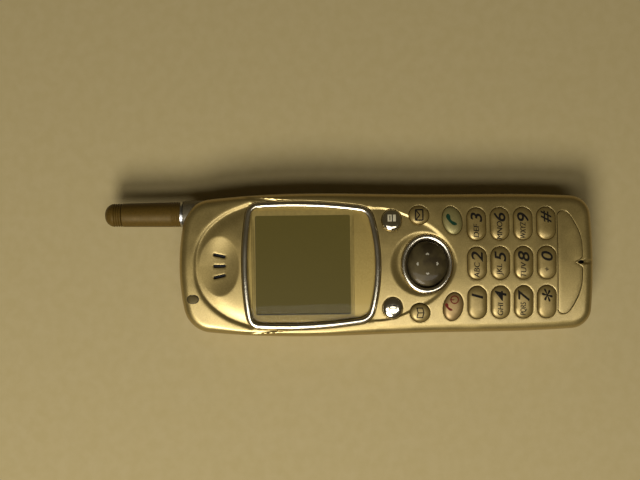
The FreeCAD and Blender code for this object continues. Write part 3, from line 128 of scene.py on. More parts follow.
# Keys: shape, half width, half height, x, y, tilt in degrees
KEY_PROUD = 0.885
KEY_GAP = 0.11
HOLE_RIM = 0.16
KEY_FLANGE = 0.5
KEY_FLANGE_Z = (13.45, 12.45)
LETTER_STRIKE = 0.09  # the small letters are struck twice, this far apart
INK = 0.012  # how far ink stands above its surface
KEYS = {name: ("stadium", 5.0, 2.85, (column - 1) * 12.05, -27.2 - 7.15 * row, 0.0)
        for row, names in enumerate((("key_1", "key_2", "key_3"), ("key_4", "key_5", "key_6"),
                                     ("key_7", "key_8", "key_9"), ("key_star", "key_0", "key_hash")))
        for column, name in enumerate(names)}
KEYS |= {"call_key": ("ellipse", 4.35, 2.95, 13.2, -19.8, 12.0),
         "end_key": ("ellipse", 4.35, 2.95, -13.2, -19.8, -12.0),
         "soft_key_right": ("ellipse", 3.3, 3.05, 13.5, -1.2, 0.0),
         "soft_key_left": ("ellipse", 3.3, 3.05, -13.5, -1.2, 0.0),
         "mail_key": ("ellipse", 2.85, 3.05, 15.0, -9.6, 0.0),
         "book_key": ("ellipse", 2.85, 3.05, -15.0, -9.6, 0.0)}
KEY_LETTERS = {"key_2": "ABC", "key_3": "DEF", "key_4": "GHI", "key_5": "JKL", "key_6": "MNO",
               "key_7": "PQRS", "key_8": "TUV", "key_9": "WXYZ", "key_0": "+"}

# Antenna, on its own axis along Y
ANTENNA_X = 16.2
ANTENNA_Z = 9.6
SLEEVE_FOOT_Y = 64.2
SLEEVE_HEAD_Y = 82.6
SLEEVE_R = 3.9
SLEEVE_TAPER = 0.25 / 18.5
KNOB_FOOT_Y = 82.76
KNOB_R = 3.6
KNOB_ROUND = 3.0
KNOB_ROUND_Y = 85.0
KNOB_RIB_Y = 83.4
KNOB_RIB_PITCH = 0.72
COLLAR_R = 4.33


# ---------------- curves and loops

def smooth_step(t):
    """0 below 0, 1 above 1, and 3t^2 - 2t^3 between."""
    t = np.clip(t, 0, 1)
    return t * t * (3 - 2 * t)


def around(angle):
    """Unit vectors, (cos, sin), at an array of angles."""
    return np.c_[np.cos(angle), np.sin(angle)]


def rotation(degrees):
    """The matrix that turns rows of (x, y) anticlockwise when they are multiplied by it."""
    c, s = math.cos(math.radians(degrees)), math.sin(math.radians(degrees))
    return np.array([[c, s], [-s, c]])


def spline(points, count):
    """Count points on the cubic spline through the points, stepped by chord length. Its two end slopes are
    those of the cubics through the first four and the last four points."""
    p = np.asarray(points, float)
    t = np.r_[0, np.cumsum(np.hypot(*np.diff(p, axis=0).T))]
    h = np.diff(t)
    rows, slopes = np.eye(len(p)), np.zeros_like(p)
    for end, part in ((0, slice(0, 4)), (-1, slice(-4, None))):
        fits = (np.polyfit(t[part], p[part, c], 3) for c in (0, 1))
        slopes[end] = [np.polyval(np.polyder(fit), t[end]) for fit in fits]
    for i in range(1, len(p) - 1):
        rows[i, i - 1:i + 2] = h[i], 2 * (h[i - 1] + h[i]), h[i - 1]
        slopes[i] = 3 * (h[i] * (p[i] - p[i - 1]) / h[i - 1] + h[i - 1] * (p[i + 1] - p[i]) / h[i])
    m = np.linalg.solve(rows, slopes)
    s = np.linspace(0, t[-1], count)
    j = np.clip(np.searchsorted(t, s, "right") - 1, 0, len(p) - 2)
    u = ((s - t[j]) / h[j])[:, None]
    step = h[j][:, None]
    return ((1 + 2 * u) * (1 - u) ** 2 * p[j] + u * (1 - u) ** 2 * step * m[j]
            + u * u * (3 - 2 * u) * p[j + 1] + u * u * (u - 1) * step * m[j + 1])


def bowed_end(side, end_y, radius):
    """The curve from the middle of a bowed end, (0, end_y), round a corner of the given radius to the side.
    Returns its points and where along the side it ends. The corner's middle is where the side and the end's
    circle, both set in by the radius, meet."""
    x, y = side[0]
    sign = 1 if end_y > y else -1
    bow = abs(end_y - y)
    big_r = (x * x + bow * bow) / (2 * bow)
    big_y = end_y - sign * big_r
    along = np.gradient(side, axis=0)
    along /= np.hypot(*along.T)[:, None]
    inward = np.c_[-np.abs(along[:, 1]), along[:, 0] * np.sign(along[:, 1])]
    middles = side + radius * inward
    off = np.hypot(middles[:, 0], middles[:, 1] - big_y) - (big_r - radius)
    k = int(np.flatnonzero(off < 0)[0])
    middle = middles[k]
    ray = (middle - (0, big_y)) / np.hypot(*(middle - (0, big_y)))
    a0 = math.atan2(ray[1], ray[0])
    a1 = math.atan2(*(side[k] - middle)[::-1])
    top = math.pi / 2 * sign
    end = big_r * around(np.linspace(top, a0, 200)) + (0, big_y)
    turn = radius * around(np.linspace(a0, a1, 120)) + middle
    return np.r_[end, turn[1:]], k


def outline(side, head_y, foot_y, head_r, foot_r):
    """A closed loop, the same on both sides of X = 0, from the middle of the foot and anticlockwise: a bowed
    end, a rounded corner and the side, three times over."""
    foot, k0 = bowed_end(side, foot_y, foot_r)
    head, k1 = bowed_end(side[::-1], head_y, head_r)
    half = np.r_[foot, side[k0 + 1:len(side) - k1 - 1], head[::-1]]
    return np.r_[half, half[-2:0:-1] * (-1, 1)]


def arc_through(a, b, c, count):
    """Count points on the circle through three points, from the first to the last."""
    a, b, c = np.array(a, float), np.array(b, float), np.array(c, float)
    m = np.array([b - a, c - a]) * 2
    centre = np.linalg.solve(m, [b @ b - a @ a, c @ c - a @ a])
    angle = np.unwrap([math.atan2(*(p - centre)[::-1]) for p in (a, b, c)])
    return centre + np.hypot(*(a - centre)) * around(np.linspace(angle[0], angle[-1], count))


def match(loop, count):
    """A closed loop as count points that are evenly spaced along it."""
    closed = np.r_[loop, loop[:1]]
    along = np.r_[0, np.cumsum(np.hypot(*np.diff(closed, axis=0).T))]
    s = np.arange(count) * along[-1] / count
    return np.c_[np.interp(s, along, closed[:, 0]), np.interp(s, along, closed[:, 1])]


def even(loop, step):
    """A closed loop as evenly spaced points, about a step apart."""
    length = np.hypot(*(np.roll(loop, -1, axis=0) - loop).T).sum()
    return match(loop, max(24, int(round(length / step))))


def outward(loop):
    """Unit normals of an anticlockwise loop, pointing out of it."""
    along = np.roll(loop, -1, axis=0) - np.roll(loop, 1, axis=0)
    return np.c_[along[:, 1], -along[:, 0]] / np.hypot(*along.T)[:, None]


def grown(loop, gap):
    """A loop moved outwards along its normals."""
    return loop + gap * outward(loop)


def oval(shape, half_x, half_y, x, y, tilt, step=0.2):
    """A key-like loop: an ellipse, or a stadium whose straight sides run along its longer way."""
    if shape == "ellipse":
        loop = around(np.arange(720) * math.tau / 720) * (half_x, half_y)
    else:
        r = min(half_x, half_y)
        run = max(half_x, half_y) - r
        end = r * around(np.linspace(-math.pi / 2, math.pi / 2, 180)) + (run, 0)
        loop = np.r_[end, -end]
        if half_y > half_x:
            loop = loop[:, ::-1] * (-1, 1)
    return even(loop @ rotation(tilt) + (x, y), step)


def rounded_box(half_x, y0, y1, r):
    """A rectangle centred on X = 0 with rounded corners."""
    quarter = r * around(np.linspace(0, math.pi / 2, 24))
    corners = ((half_x - r, y1 - r), (-half_x + r, y1 - r), (-half_x + r, y0 + r), (half_x - r, y0 + r))
    quarters = [quarter @ rotation(90 * k) + corner for k, corner in enumerate(corners)]
    return even(np.concatenate(quarters), 0.5)


def inside(points, loop):
    """Which points a closed loop holds: an odd number of its edges cross the line to their right."""
    found = np.zeros(len(points), bool)
    near = np.flatnonzero(np.all((points >= loop.min(0)) & (points <= loop.max(0)), axis=1))
    a, b = loop, np.roll(loop, -1, axis=0)
    rise = np.where(b[:, 1] == a[:, 1], 1e-12, b[:, 1] - a[:, 1])
    for part in np.array_split(near, max(1, len(near) * len(loop) // 3_000_000)):
        p = points[part][:, None]
        spans = (a[:, 1] > p[..., 1]) != (b[:, 1] > p[..., 1])
        crossing = a[:, 0] + (p[..., 1] - a[:, 1]) * (b[:, 0] - a[:, 0]) / rise
        found[part] = (spans & (crossing > p[..., 0])).sum(1) % 2 == 1
    return found


def lattice(loop, step):
    """Points of a triangular lattice over a loop's bounding box."""
    (x0, y0), (x1, y1) = loop.min(0), loop.max(0)
    rows = np.arange(y0, y1, step * math.sqrt(0.75))
    columns = np.arange(x0, x1, step)
    x, y = np.meshgrid(columns, rows)
    x = x + step / 2 * (np.arange(len(rows)) % 2)[:, None]
    return np.c_[x.ravel(), y.ravel()]


def signed_distance(path, x, y):
    """Distance from each (x, y) to an open path, positive on the left of its direction."""
    a, b = path[:-1], path[1:]
    span = b - a
    p = np.stack([np.ravel(x), np.ravel(y)], 1)[:, None] - a
    share = np.clip((p * span).sum(-1) / (span * span).sum(-1), 0, 1)
    gap = p - share[..., None] * span
    length = np.hypot(gap[..., 0], gap[..., 1])
    k = length.argmin(1)
    rows = np.arange(len(k))
    side = span[k, 0] * p[rows, k, 1] - span[k, 1] * p[rows, k, 0]
    return (length[rows, k] * np.where(side >= 0, 1, -1)).reshape(np.shape(x))


body_side = spline(SIDE_POINTS, 4000)
trim_side = arc_through(*TRIM_SIDE, 2000)
body_loop = even(outline(body_side, HEAD_END_Y, FOOT_END_Y, HEAD_CORNER_R, FOOT_CORNER_R), 0.28)
trim_loop = even(outline(trim_side, TRIM_HEAD_Y, TRIM_FOOT_Y, TRIM_HEAD_R, TRIM_FOOT_R), 0.25)
panel_half = spline(PANEL_POINTS, 90)
crease_half = spline(CREASE_POINTS, 90)


def foot_panel_loop(grow):
    """A flat D with its straight side towards the keys, rounded corners, and a small microphone notch."""
    x, y = FOOT_PANEL_HALF + grow, FOOT_PANEL_Y + grow
    low = FOOT_PANEL_Y - FOOT_PANEL_DROP - grow
    right = ((0, low), (0.45 * x, low + 0.35), (0.84 * x, low + 2.9), (x, y - 1.9), (x - 0.45, y - 0.5),
             (x - 1.7, y))
    left = [(-u, v) for u, v in right[:0:-1]]
    curve = spline(left + list(right), 900)
    curve[:, 1] += MIC_NOTCH * np.exp(-(curve[:, 0] / 0.95) ** 2) * (curve[:, 1] < y - 2)
    return even(curve, 0.2)


# ---------------- height of the front

def crown(x, y):
    """Height of the plain front: it falls 1.4 mm to 22 mm out, and 1 mm at 90 mm from its highest line."""
    return 16.5 - 1.4 * (x / 22) ** 2 - ((y - 18) / 90) ** 2


def below_crown(depth):
    """The height of the plain front less a depth, as a function of (x, y)."""
    return lambda x, y: crown(x, y) - depth


def panel_reach(x, y):
    """How far (x, y) is inside the recessed panel's edge, negative outside it."""
    reach = -signed_distance(panel_half, np.abs(x), y)
    return np.where(y > PANEL_POINTS[0][1], PANEL_POINTS[0][0] - np.abs(x) + (y - 4) * 0.1, reach)


def mic_drop(x, y):
    """The groove that runs from the microphone to the foot end: a parabola across, with a rounded start."""
    across = np.clip(1 - (x / MIC_HALF_WIDTH) ** 2, 0, None) ** 0.8
    return MIC_DEPTH * across * smooth_step((MIC_START_Y - y) / 1.3)


def relief(x, y):
    """How far the moulded front lies below the plain crown. It adds up the crease round the earpiece, the
    panel's sloping wall, the direction key's dish, the earpiece's oval dish and the microphone's groove."""
    s = signed_distance(crease_half, np.abs(x), y)
    drop = CREASE_DEPTH * np.exp(-np.where(s > 0, s / 0.85, s / 2.3) ** 2) * (y > 38)
    wall = 0.5 + 0.9 * smooth_step((-4 - y) / 7)
    drop = drop + PANEL_STEP * smooth_step(panel_reach(x, y) / wall)
    from_nav = np.hypot(x, y - NAV_DISH_Y)
    drop = drop + NAV_DISH_DEPTH * smooth_step((NAV_DISH_R + 0.1 - from_nav) / 2.9)
    lens = 1 - (x / EAR_HALF[0]) ** 2 - ((y - EAR_Y) / EAR_HALF[1]) ** 2
    drop = drop + EAR_DEPTH * (lens + np.sqrt(lens * lens + 0.002)) / 2 * (lens > -1)
    return drop + mic_drop(x, y)


def skin(x, y):
    """Height of the moulded front."""
    return crown(x, y) - relief(x, y)


def roll_width(y):
    """How far in the rolled edge reaches: 2.8 mm, and 0.95 mm less beside the display trim."""
    return EDGE_R - 0.95 * smooth_step((y - 4) / 18) * smooth_step((56 - y) / 12)


def cover_top(x, y):
    """Height of the front with its rolled edge: a quarter of an ellipse by distance to the outline."""
    out = 1 - signed_distance(np.r_[body_loop, body_loop[:1]], x, y) / roll_width(y)
    return skin(x, y) - EDGE_R * (1 - np.sqrt(1 - np.clip(out, 0, 1) ** 2))


# ---------------- building meshes

def nowhere(x, y):
    """False for every point."""
    return np.zeros(len(x), bool)


class Shell:
    """The grids and sheets of one piece, in millimetres. Shared edges are merged when it is made."""

    def __init__(self):
        self.points, self.faces, self.count = [], [], 0

    def add(self, points, faces):
        self.points.append(np.asarray(points, float))
        for face in faces:
            self.faces += (face + self.count).tolist()
        self.count += len(points)

    def band(self, rings):
        """Quads between closed rings. They face out of the piece when the rings run anticlockwise and go
        from its top outwards."""
        rings = np.asarray(rings, float)
        m, n = rings.shape[:2]
        k = np.arange(m * n).reshape(m, n)
        a, b = k[:-1], k[1:]
        quads = np.stack([a, b, np.roll(b, -1, 1), np.roll(a, -1, 1)], -1).reshape(-1, 4)
        self.add(rings.reshape(-1, 3), [quads])

    def cap(self, ring, tip, top):
        """Triangles from a ring to one point, facing up when top is true."""
        n = len(ring)
        k = np.arange(n)
        fan = np.stack([k, (k + 1) % n, np.full(n, n)], 1)
        self.add(np.r_[ring, [tip]], [fan if top else fan[:, ::-1]])

    def sheet(self, outer, holes, height, step, up=True, fine=nowhere, fine_step=None):
        """Triangles over a loop and outside its holes. A lattice of points fills it, closer together where
        fine(x, y) is true, and each point is raised to height(x, y)."""

        def filled(step, wanted):
            """Lattice points that are wanted and lie on the sheet, clear of its edges."""
            points = lattice(outer, step)
            points = points[wanted(*points.T)]
            keep = inside(points, grown(outer, -0.6 * step))
            for hole in holes:
                keep &= ~inside(points, grown(hole, 0.6 * step))
            return points[keep]

        grid = filled(step, lambda x, y: ~fine(x, y))
        if fine_step:
            grid = np.r_[grid, filled(fine_step, fine)]
        loops = [outer, *holes]
        flat = np.concatenate(loops + [grid])
        edges, owner, start = [], np.full(len(flat), -1), 0
        for number, loop in enumerate(loops):
            k = np.arange(len(loop))
            edges += np.c_[start + k, start + (k + 1) % len(loop)].tolist()
            owner[start:start + len(loop)] = number
            start += len(loop)
        made = delaunay_2d_cdt([Vector(p) for p in flat], edges, [], 1, 1e-7)
        points = np.array([tuple(p) for p in made[0]])
        origin = np.array([k[0] if k else -1 for k in made[3]])
        triangles = np.array(made[2])
        whose = owner[origin[triangles]]
        in_hole = (whose[:, 0] > 0) & (whose[:, 0] == whose[:, 1]) & (whose[:, 1] == whose[:, 2])
        triangles = triangles[~in_hole]
        a, b, c = (points[triangles[:, i]] for i in range(3))
        wrong = (b[:, 0] - a[:, 0]) * (c[:, 1] - a[:, 1]) - (b[:, 1] - a[:, 1]) * (c[:, 0] - a[:, 0]) < 0
        triangles[wrong] = triangles[wrong][:, ::-1]
        if not up:
            triangles = triangles[:, ::-1]
        self.add(np.c_[points, height(*points.T)], [triangles])

    def make(self, name, material, body, replaced=(), sharp=38):
        """The finished piece, riding on its body."""
        mesh = bpy.data.meshes.new(name)
        mesh.from_pydata((np.concatenate(self.points) * MM).tolist(), [], self.faces)
        work = bmesh.new()
        work.from_mesh(mesh)
        bmesh.ops.remove_doubles(work, verts=work.verts, dist=2e-6)
        bmesh.ops.delete(work, geom=[v for v in work.verts if not v.link_faces], context="VERTS")
        work.to_mesh(mesh)
        work.free()
        mesh.shade_smooth()
        mesh.set_sharp_from_angle(angle=math.radians(sharp))
        seated(name, mesh, material, body, replaced)


def seated(name, mesh, material, body, replaced=()):
    """Make an object for a mesh, with its finish, on its body, standing for the CAD nodes named."""
    piece = bpy.data.objects.new(name, mesh)
    scene.collection.objects.link(piece)
    mesh.materials.append(material)
    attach(piece, body)
    if replaced:
        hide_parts(*replaced)


def lifted(loop, height):
    """A flat loop as a ring in space, at a height that is a number or a function of (x, y)."""
    z = height(*loop.T) if callable(height) else np.full(len(loop), float(height))
    return np.c_[loop, z]


# ---------------- finishes

def tint(code):
    """A colour written as six hexadecimal digits, made linear."""
    channels = np.array([int(code[i:i + 2], 16) for i in (0, 2, 4)]) / 255
    linear = np.where(channels <= 0.04045, channels / 12.92, ((channels + 0.055) / 1.055) ** 2.4)
    return (*linear, 1.0)


class Graph:
    """A material and its nodes. An input takes a value or another node's output."""

    def __init__(self, name):
        self.material = bpy.data.materials.new(name)
        self.material.use_nodes = True
        self.nodes = self.material.node_tree.nodes
        self.shader = self.nodes["Principled BSDF"]
        self.place = self.add("TexCoord", {}, "Object")

    def feed(self, node, inputs):
        """Give a node's inputs, by name or number, what the dictionary holds for them."""
        for key, value in inputs.items():
            if isinstance(value, bpy.types.NodeSocket):
                self.material.node_tree.links.new(value, node.inputs[key])
            else:
                node.inputs[key].default_value = value

    def add(self, kind, inputs, output=0, **settings):
        """A new node's output."""
        node = self.nodes.new("ShaderNode" + kind)
        for key, value in settings.items():
            setattr(node, key, value)
        self.feed(node, inputs)
        return node.outputs[output]

    def mix(self, a, b, factor):
        return self.add("Mix", {"A": a, "B": b, "Factor": factor}, "Result", data_type="RGBA")

    def maths(self, operation, *values):
        return self.add("Math", dict(enumerate(values)), operation=operation)

    def noise(self, scale, detail=2.0):
        return self.add("TexNoise", {"Vector": self.place, "Scale": scale, "Detail": detail})

    def ramp(self, source, *ends):
        """The source carried from one range to another: from low, from high, to low, to high."""
        names = ("From Min", "From Max", "To Min", "To Max")
        return self.add("MapRange", {"Value": source, **dict(zip(names, ends))})


def surface(name, colour, second, roughness, grain=900.0, metallic=0.0, bump=0.02, bump_scale=1500.0,
            spread=0.06, **sockets):
    """A moulded or metal surface: two colours mixed by fine noise, roughness that wanders by the spread, and
    a fine bump, all on object coordinates. Sockets are values of the shader itself."""
    graph = Graph(name)
    grains = graph.ramp(graph.noise(grain, 3.0), 0.36, 0.64, 0.0, 1.0)
    wander = graph.ramp(graph.noise(130.0), 0.3, 0.7, roughness - spread, roughness + spread)
    bumps = graph.add("Bump", {"Strength": bump, "Distance": 0.0001, "Height": graph.noise(bump_scale)})
    graph.feed(graph.shader, {"Base Color": graph.mix(tint(colour), tint(second), grains),
                              "Roughness": wander, "Normal": bumps, "Metallic": metallic})
    graph.feed(graph.shader, {socket.replace("_", " "): value for socket, value in sockets.items()})
    return graph


def finish(*looks, **more_looks):
    """A surface's material alone."""
    return surface(*looks, **more_looks).material


WARM_GLEAM = (0.8, 0.62, 0.34, 1.0)
champagne = finish("champagne_satin", "ad9557", "a0894d", 0.36, grain=2600.0, metallic=0.8, bump=0.05,
                   bump_scale=900.0, Coat_Weight=0.7, Coat_Roughness=0.27)
champagne_print = finish("champagne_print", "b5a06a", "aa9560", 0.45, grain=2400.0, metallic=0.4)
key_paint = finish("key_paint", "988149", "8b753e", 0.40, grain=2400.0, metallic=0.6, bump=0.05,
                   Coat_Weight=0.2, Coat_Roughness=0.3)
call_paint = finish("call_key_paint", "8f834e", "847846", 0.42, grain=2400.0, metallic=0.5, bump=0.05)
end_paint = finish("end_key_paint", "957a47", "8a6f40", 0.42, grain=2400.0, metallic=0.5, bump=0.05)
chrome = finish("bright_chrome", "eadfc4", "e2d6ba", 0.2, metallic=1.0, bump=0.01, spread=0.03)
key_chrome = finish("key_chrome", "eadfc4", "ded2b4", 0.12, metallic=1.0, bump=0.01, spread=0.03)
smoke = finish("smoked_plastic", "231c0e", "40371f", 0.42, grain=260.0, bump=0.01, spread=0.04,
               Specular_Tint=WARM_GLEAM, Coat_Weight=0.12, Coat_Roughness=0.06)
dark_ink = finish("dark_ink", "120e06", "191309", 0.7, Specular_IOR_Level=0.15)
green_ink = finish("green_ink", "0a2c18", "0e331d", 0.7, Specular_IOR_Level=0.15)
red_ink = finish("red_ink", "6a1a0c", "5e160a", 0.7, Specular_IOR_Level=0.15)
pale_tile = finish("pale_tile", "c9bd9a", "bdb18e", 0.35)
pale_ink = finish("pale_ink", "a39a80", "968d74", 0.5)
antenna_plastic = finish("antenna_plastic", "574116", "4d3a13", 0.5, grain=1800.0, bump=0.12,
                         Specular_IOR_Level=0.35, Specular_Tint=WARM_GLEAM)
collar_plastic = finish("collar_plastic", "6a5f45", "5d533c", 0.42, grain=1800.0, metallic=0.3)
pale_frame = finish("pale_frame", "a08e5c", "958455", 0.45, metallic=0.3)
olive_lens = finish("indicator_plastic", "453a1c", "4e4222", 0.5, Specular_Tint=WARM_GLEAM)
felt = finish("black_felt", "0c0b09", "14120e", 0.9, bump=0.5, bump_scale=4000.0)
steel = finish("tinned_steel", "b9b6ad", "a7a49c", 0.3, metallic=1.0)
spring = finish("spring_steel", "9c9a94", "8a8882", 0.28, metallic=1.0)
gold = finish("gold_contact", "d1a648", "c2983e", 0.25, metallic=1.0)
board = finish("circuit_board", "1e4a2c", "265734", 0.45, bump=0.15, bump_scale=2500.0)
dark_plastic = finish("dark_plastic", "24231f", "2c2b26", 0.5, bump=0.15)
rubber = finish("silicone_rubber", "8d897d", "858176", 0.6, bump=0.1)
foam = finish("foam_gasket", "2f2e2b", "3b3a36", 0.9, bump=0.6, bump_scale=3000.0)
white_plastic = finish("white_plastic", "d9d6cb", "cfccc1", 0.45)
battery_shell = finish("battery_shell", "ad9b71", "9e8d65", 0.42, grain=2600.0, metallic=0.5, bump=0.16,
                       bump_scale=1300.0)


def glass_finish():
    """A clear window: what is behind it shows through, and a mirror layer grows towards grazing angles as
    0.3% plus 0.8 times the fifth power of 1 less the cosine."""
    graph = Graph("clear_window")
    facing = graph.add("LayerWeight", {"Blend": 0.5}, "Facing")
    share = graph.maths("MULTIPLY_ADD", graph.maths("POWER", facing, 5.0), 0.8, 0.003)
    clear = graph.add("BsdfTransparent", {"Color": tint("f8f6ec")})
    mirror = graph.add("BsdfGlossy", {"Roughness": graph.ramp(graph.noise(60.0), 0.0, 1.0, 0.01, 0.05)})
    both = graph.add("MixShader", {0: share, 1: clear, 2: mirror})
    graph.feed(graph.nodes["Material Output"], {"Surface": both})
    graph.nodes.remove(graph.shader)
    return graph.material


def lcd_finish():
    """The display: dark olive glass with a fine grid of dots, and a dark line painted round its edge, at the
    foot of the frame's wall, as painted shade.
    """
    graph = surface("lcd_glass", "5c510c", "574c0a", 0.5, grain=3000.0, spread=0.01)
    split, maths = graph.add("SeparateXYZ", {"Vector": graph.place}).node.outputs, graph.maths
    reach, lines = [], []
    for c, middle, half in zip("XY", LCD_MIDDLE, LCD_HALF):
        away = maths("ABSOLUTE", maths("SUBTRACT", split[c], middle * MM))
        reach.append(maths("DIVIDE", away, half * MM))
        dots = maths("FRACT", maths("DIVIDE", split[c], DOT_PITCH * MM))
        lines.append(maths("GREATER_THAN", dots, 0.88))
    # The dark line round the edge is painted shade, where the frame's wall meets the display; the grid of
    # dots is the display's own.
    edge = maths("MULTIPLY", maths("SUBTRACT", maths("MAXIMUM", *reach), 0.985), 200.0)
    grid = maths("MULTIPLY", maths("MAXIMUM", *lines), 0.18)
    dark = graph.add("Clamp", {"Value": maths("MAXIMUM", edge, grid)})
    base = graph.shader.inputs["Base Color"].links[0].from_socket
    graph.feed(graph.shader, {"Base Color": graph.mix(base, tint("1c180a"), dark)})
    return graph.material


clear_window = glass_finish()
lcd_glass = lcd_finish()


# ---------------- front cover

def roll(radius, count):
    """How far in and how far down the points of a quarter round lie, from its top to its upright side."""
    turn = np.linspace(0, math.pi / 2, count)
    return radius * (1 - np.sin(turn)), radius * (1 - np.cos(turn))


def hole_wall(shell, loop, radius, bottom):
    """The rounded rim and the wall of a hole whose clear edge is the loop, down to bottom(x, y). Returns the
    loop where the rim meets the front."""
    outs, drops = roll(radius, 5)
    rings = [lifted(grown(loop, out), skin) - (0, 0, drop) for out, drop in zip(outs, drops)]
    rings.append(lifted(loop, bottom))
    shell.band(rings[::-1])
    return grown(loop, radius)


def cover_fine(x, y):
    """Where the front bends sharply and needs closer points."""
    crease = np.abs(signed_distance(crease_half, np.abs(x), y) - 0.2) < 1.3
    panel = (np.abs(panel_reach(x, y) - 0.4) < 1.1) & (y < 4.5)
    nav = np.abs(np.hypot(x, y - NAV_DISH_Y) - 9.3) < 1.3
    lens = np.hypot(x / EAR_HALF[0], (y - EAR_Y) / EAR_HALF[1])
    mic = (np.abs(x) < 1.4) & (y < -56.5)
    return (crease & (y > 38)) | panel | nav | (np.abs(lens - 1) < 0.12) | mic


def front_cover():
    """The moulded front: a crowned sheet with rolled edges, upright sides down to the parting line, rounded
    rims and walls in every hole, and an inner face, closed all round."""
    shell = Shell()
    underside = below_crown(WALL)
    holes = [(grown(trim_loop, TRIM_GAP), TRIM_GAP)]
    holes += [(oval(shape, half_x + KEY_GAP, half_y + KEY_GAP, *place), HOLE_RIM)
              for shape, half_x, half_y, *place in KEYS.values()]
    holes += [(oval("ellipse", *(half + NAV_RING_GAP for half in NAV_RING_HALF), 0, NAV_Y, 0), 0.1)]
    holes += [(oval("stadium", *SLOT_HALF, side * SLOT_PITCH, EAR_Y, -side * SLOT_TILT, 0.12), HOLE_RIM)
              for side in (-1, 0, 1)]
    holes += [(foot_panel_loop(FOOT_PANEL_GAP), 0.12),
              (oval("ellipse", *MIC_HOLE_HALF, 0, MIC_HOLE_Y, 0, 0.1), 0.12)]
    rims = [hole_wall(shell, loop, radius, underside) for loop, radius in holes]
    normals = outward(body_loop)
    width = roll_width(body_loop[:, 1])[:, None]
    rings = []
    for lean, share, fall in zip(np.linspace(0, math.pi / 2, 14), *roll(1.0, 14)):
        at = body_loop - share * width * normals
        full = mic_drop(*at.T)
        groove = full * (1 - smooth_step(lean / 1.4))
        z = skin(*at.T) + full - fall * EDGE_R - groove * math.cos(lean)
        rings.append(np.c_[at - (groove * math.sin(lean))[:, None] * normals, z])
    side_top, side_foot = rings[-1][:, 2], PARTING_Z + SEAM
    for share in (0.15, 0.4, 0.7, 1.0):
        rings.append(np.c_[body_loop, side_top + share * (side_foot - side_top)])
    inner = grown(body_loop, -WALL)
    rings += [lifted(grown(body_loop, -SEAM), PARTING_Z), lifted(inner, PARTING_Z), lifted(inner, underside)]
    shell.band(rings)
    shell.sheet(body_loop - width * normals, rims, skin, 0.5, fine=cover_fine, fine_step=0.25)
    shell.sheet(inner, [loop for loop, radius in holes], underside, 3.0, up=False)
    shell.make("cover_skin", champagne, "phone", ("front_cover",))


# ---------------- display

def trim_band():
    """The bright ring, carried round the trim's outline: across it, its height is its full height times the
    sine of the way over, from 0 to 180 degrees, to the power 0.8."""
    shell = Shell()
    rings = [lifted(grown(trim_loop, TRIM_BAND / 2 * (math.cos(a) - 1)),
                    below_crown(TRIM_SEAT - TRIM_HEIGHT * math.sin(a) ** 0.8))
             for a in np.linspace(0, math.pi, 19)]
    low = [lifted(grown(trim_loop, -inset), below_crown(TRIM_FOOT)) for inset in (TRIM_BAND, 0.0)]
    shell.band((rings + low + rings[:1])[::-1])
    shell.make("trim_band", chrome, "phone", ("display_trim",), sharp=50)


def plate(name, material, outer, holes, top, bottom, step, replaced=(), rim=0.0):
    """A thin plate between two heights, its top edge rounded by the rim."""
    shell = Shell()
    outs, drops = roll(rim, 5 if rim else 1)
    rings = [lifted(grown(outer, -out), top) - (0, 0, drop) for out, drop in zip(outs, drops)]
    shell.band(rings + [lifted(outer, bottom)])
    for hole in holes:
        shell.band([lifted(hole, bottom), lifted(hole, top)])
    shell.sheet(grown(outer, -rim), holes, top, step)
    shell.sheet(outer, holes, bottom, step, up=False)
    shell.make(name, material, "phone", replaced)


def lcd_surround():
    """The stepped frame between the printed border and the display: rings of a rounded rectangle that step
    down and in to the glass."""
    shell = Shell()
    half_x, foot_y, head_y, corner_r = OPENING
    flat = LCD_TOP_Z + 0.03
    steps = ((0.0, 0.0, 1), (0.12, -0.06, 1), (0.55, -0.08, 1), (0.6, -0.16, 0.6), (0.8, -0.16, 0.6),
             (0.86, 0.0, 0), (1.15, 0.0, 0))
    rings = []
    for inset, drop, share in steps:
        r = max(0.15, corner_r - inset * 0.5)
        loop = rounded_box(half_x - 1.35 * inset, foot_y + inset, head_y - inset, r)
        loop = match(loop, len(rings[0])) if rings else loop
        z = share * (crown(*loop.T) - PRINT_FOOT) + (1 - share) * flat + drop
        rings.append(np.c_[loop, np.maximum(z, flat)])
    low = [lifted(ring[:, :2], LCD_TOP_Z + 0.01) for ring in (rings[-1], rings[0])]
    shell.band((rings + low + rings[:1])[::-1])
    shell.make("lcd_surround", pale_frame, "phone", sharp=25)


def display():
    """Window, printed border and frame."""
    plate("window_glass", clear_window, grown(trim_loop, -TRIM_BAND - WINDOW_GAP), [], below_crown(GLASS_TOP),
          below_crown(GLASS_FOOT), 2.0, ("display_window",))
    plate("window_print", champagne_print, grown(trim_loop, -PRINT_INSET), [rounded_box(*OPENING)],
          below_crown(PRINT_TOP), below_crown(PRINT_FOOT), 2.0)
    lcd_surround()


# ---------------- keys

def share_out(key, x, y):
    """How far out of a key a point lies, from 0 at its middle to 1 on its edge: the scale of the outline
    through it."""
    shape, a, b, kx, ky, tilt = key
    c, s = rotation(tilt)[0]
    u, v = (x - kx) * c + (y - ky) * s, (y - ky) * c - (x - kx) * s
    if shape == "ellipse":
        return np.hypot(u / a, v / b)
    run, u, v = a - b, np.abs(u), np.abs(v)
    p, q, w = b * b - run * run, 2 * u * run, -(u * u + v * v)
    round_end = (-q + np.sqrt(np.maximum(q * q - 4 * p * w, 0))) / (2 * p)
    return np.where(u <= run * v / b, v / b, round_end)


def key_top(name):
    """The height of a key's pillowed top as a function of (x, y): the crown plus the key's height times the
    root of 1 less the cube of how far out the point is."""
    return lambda x, y: crown(x, y) + KEY_PROUD * np.sqrt(np.clip(1 - share_out(KEYS[name], x, y) ** 3, 0, 1))


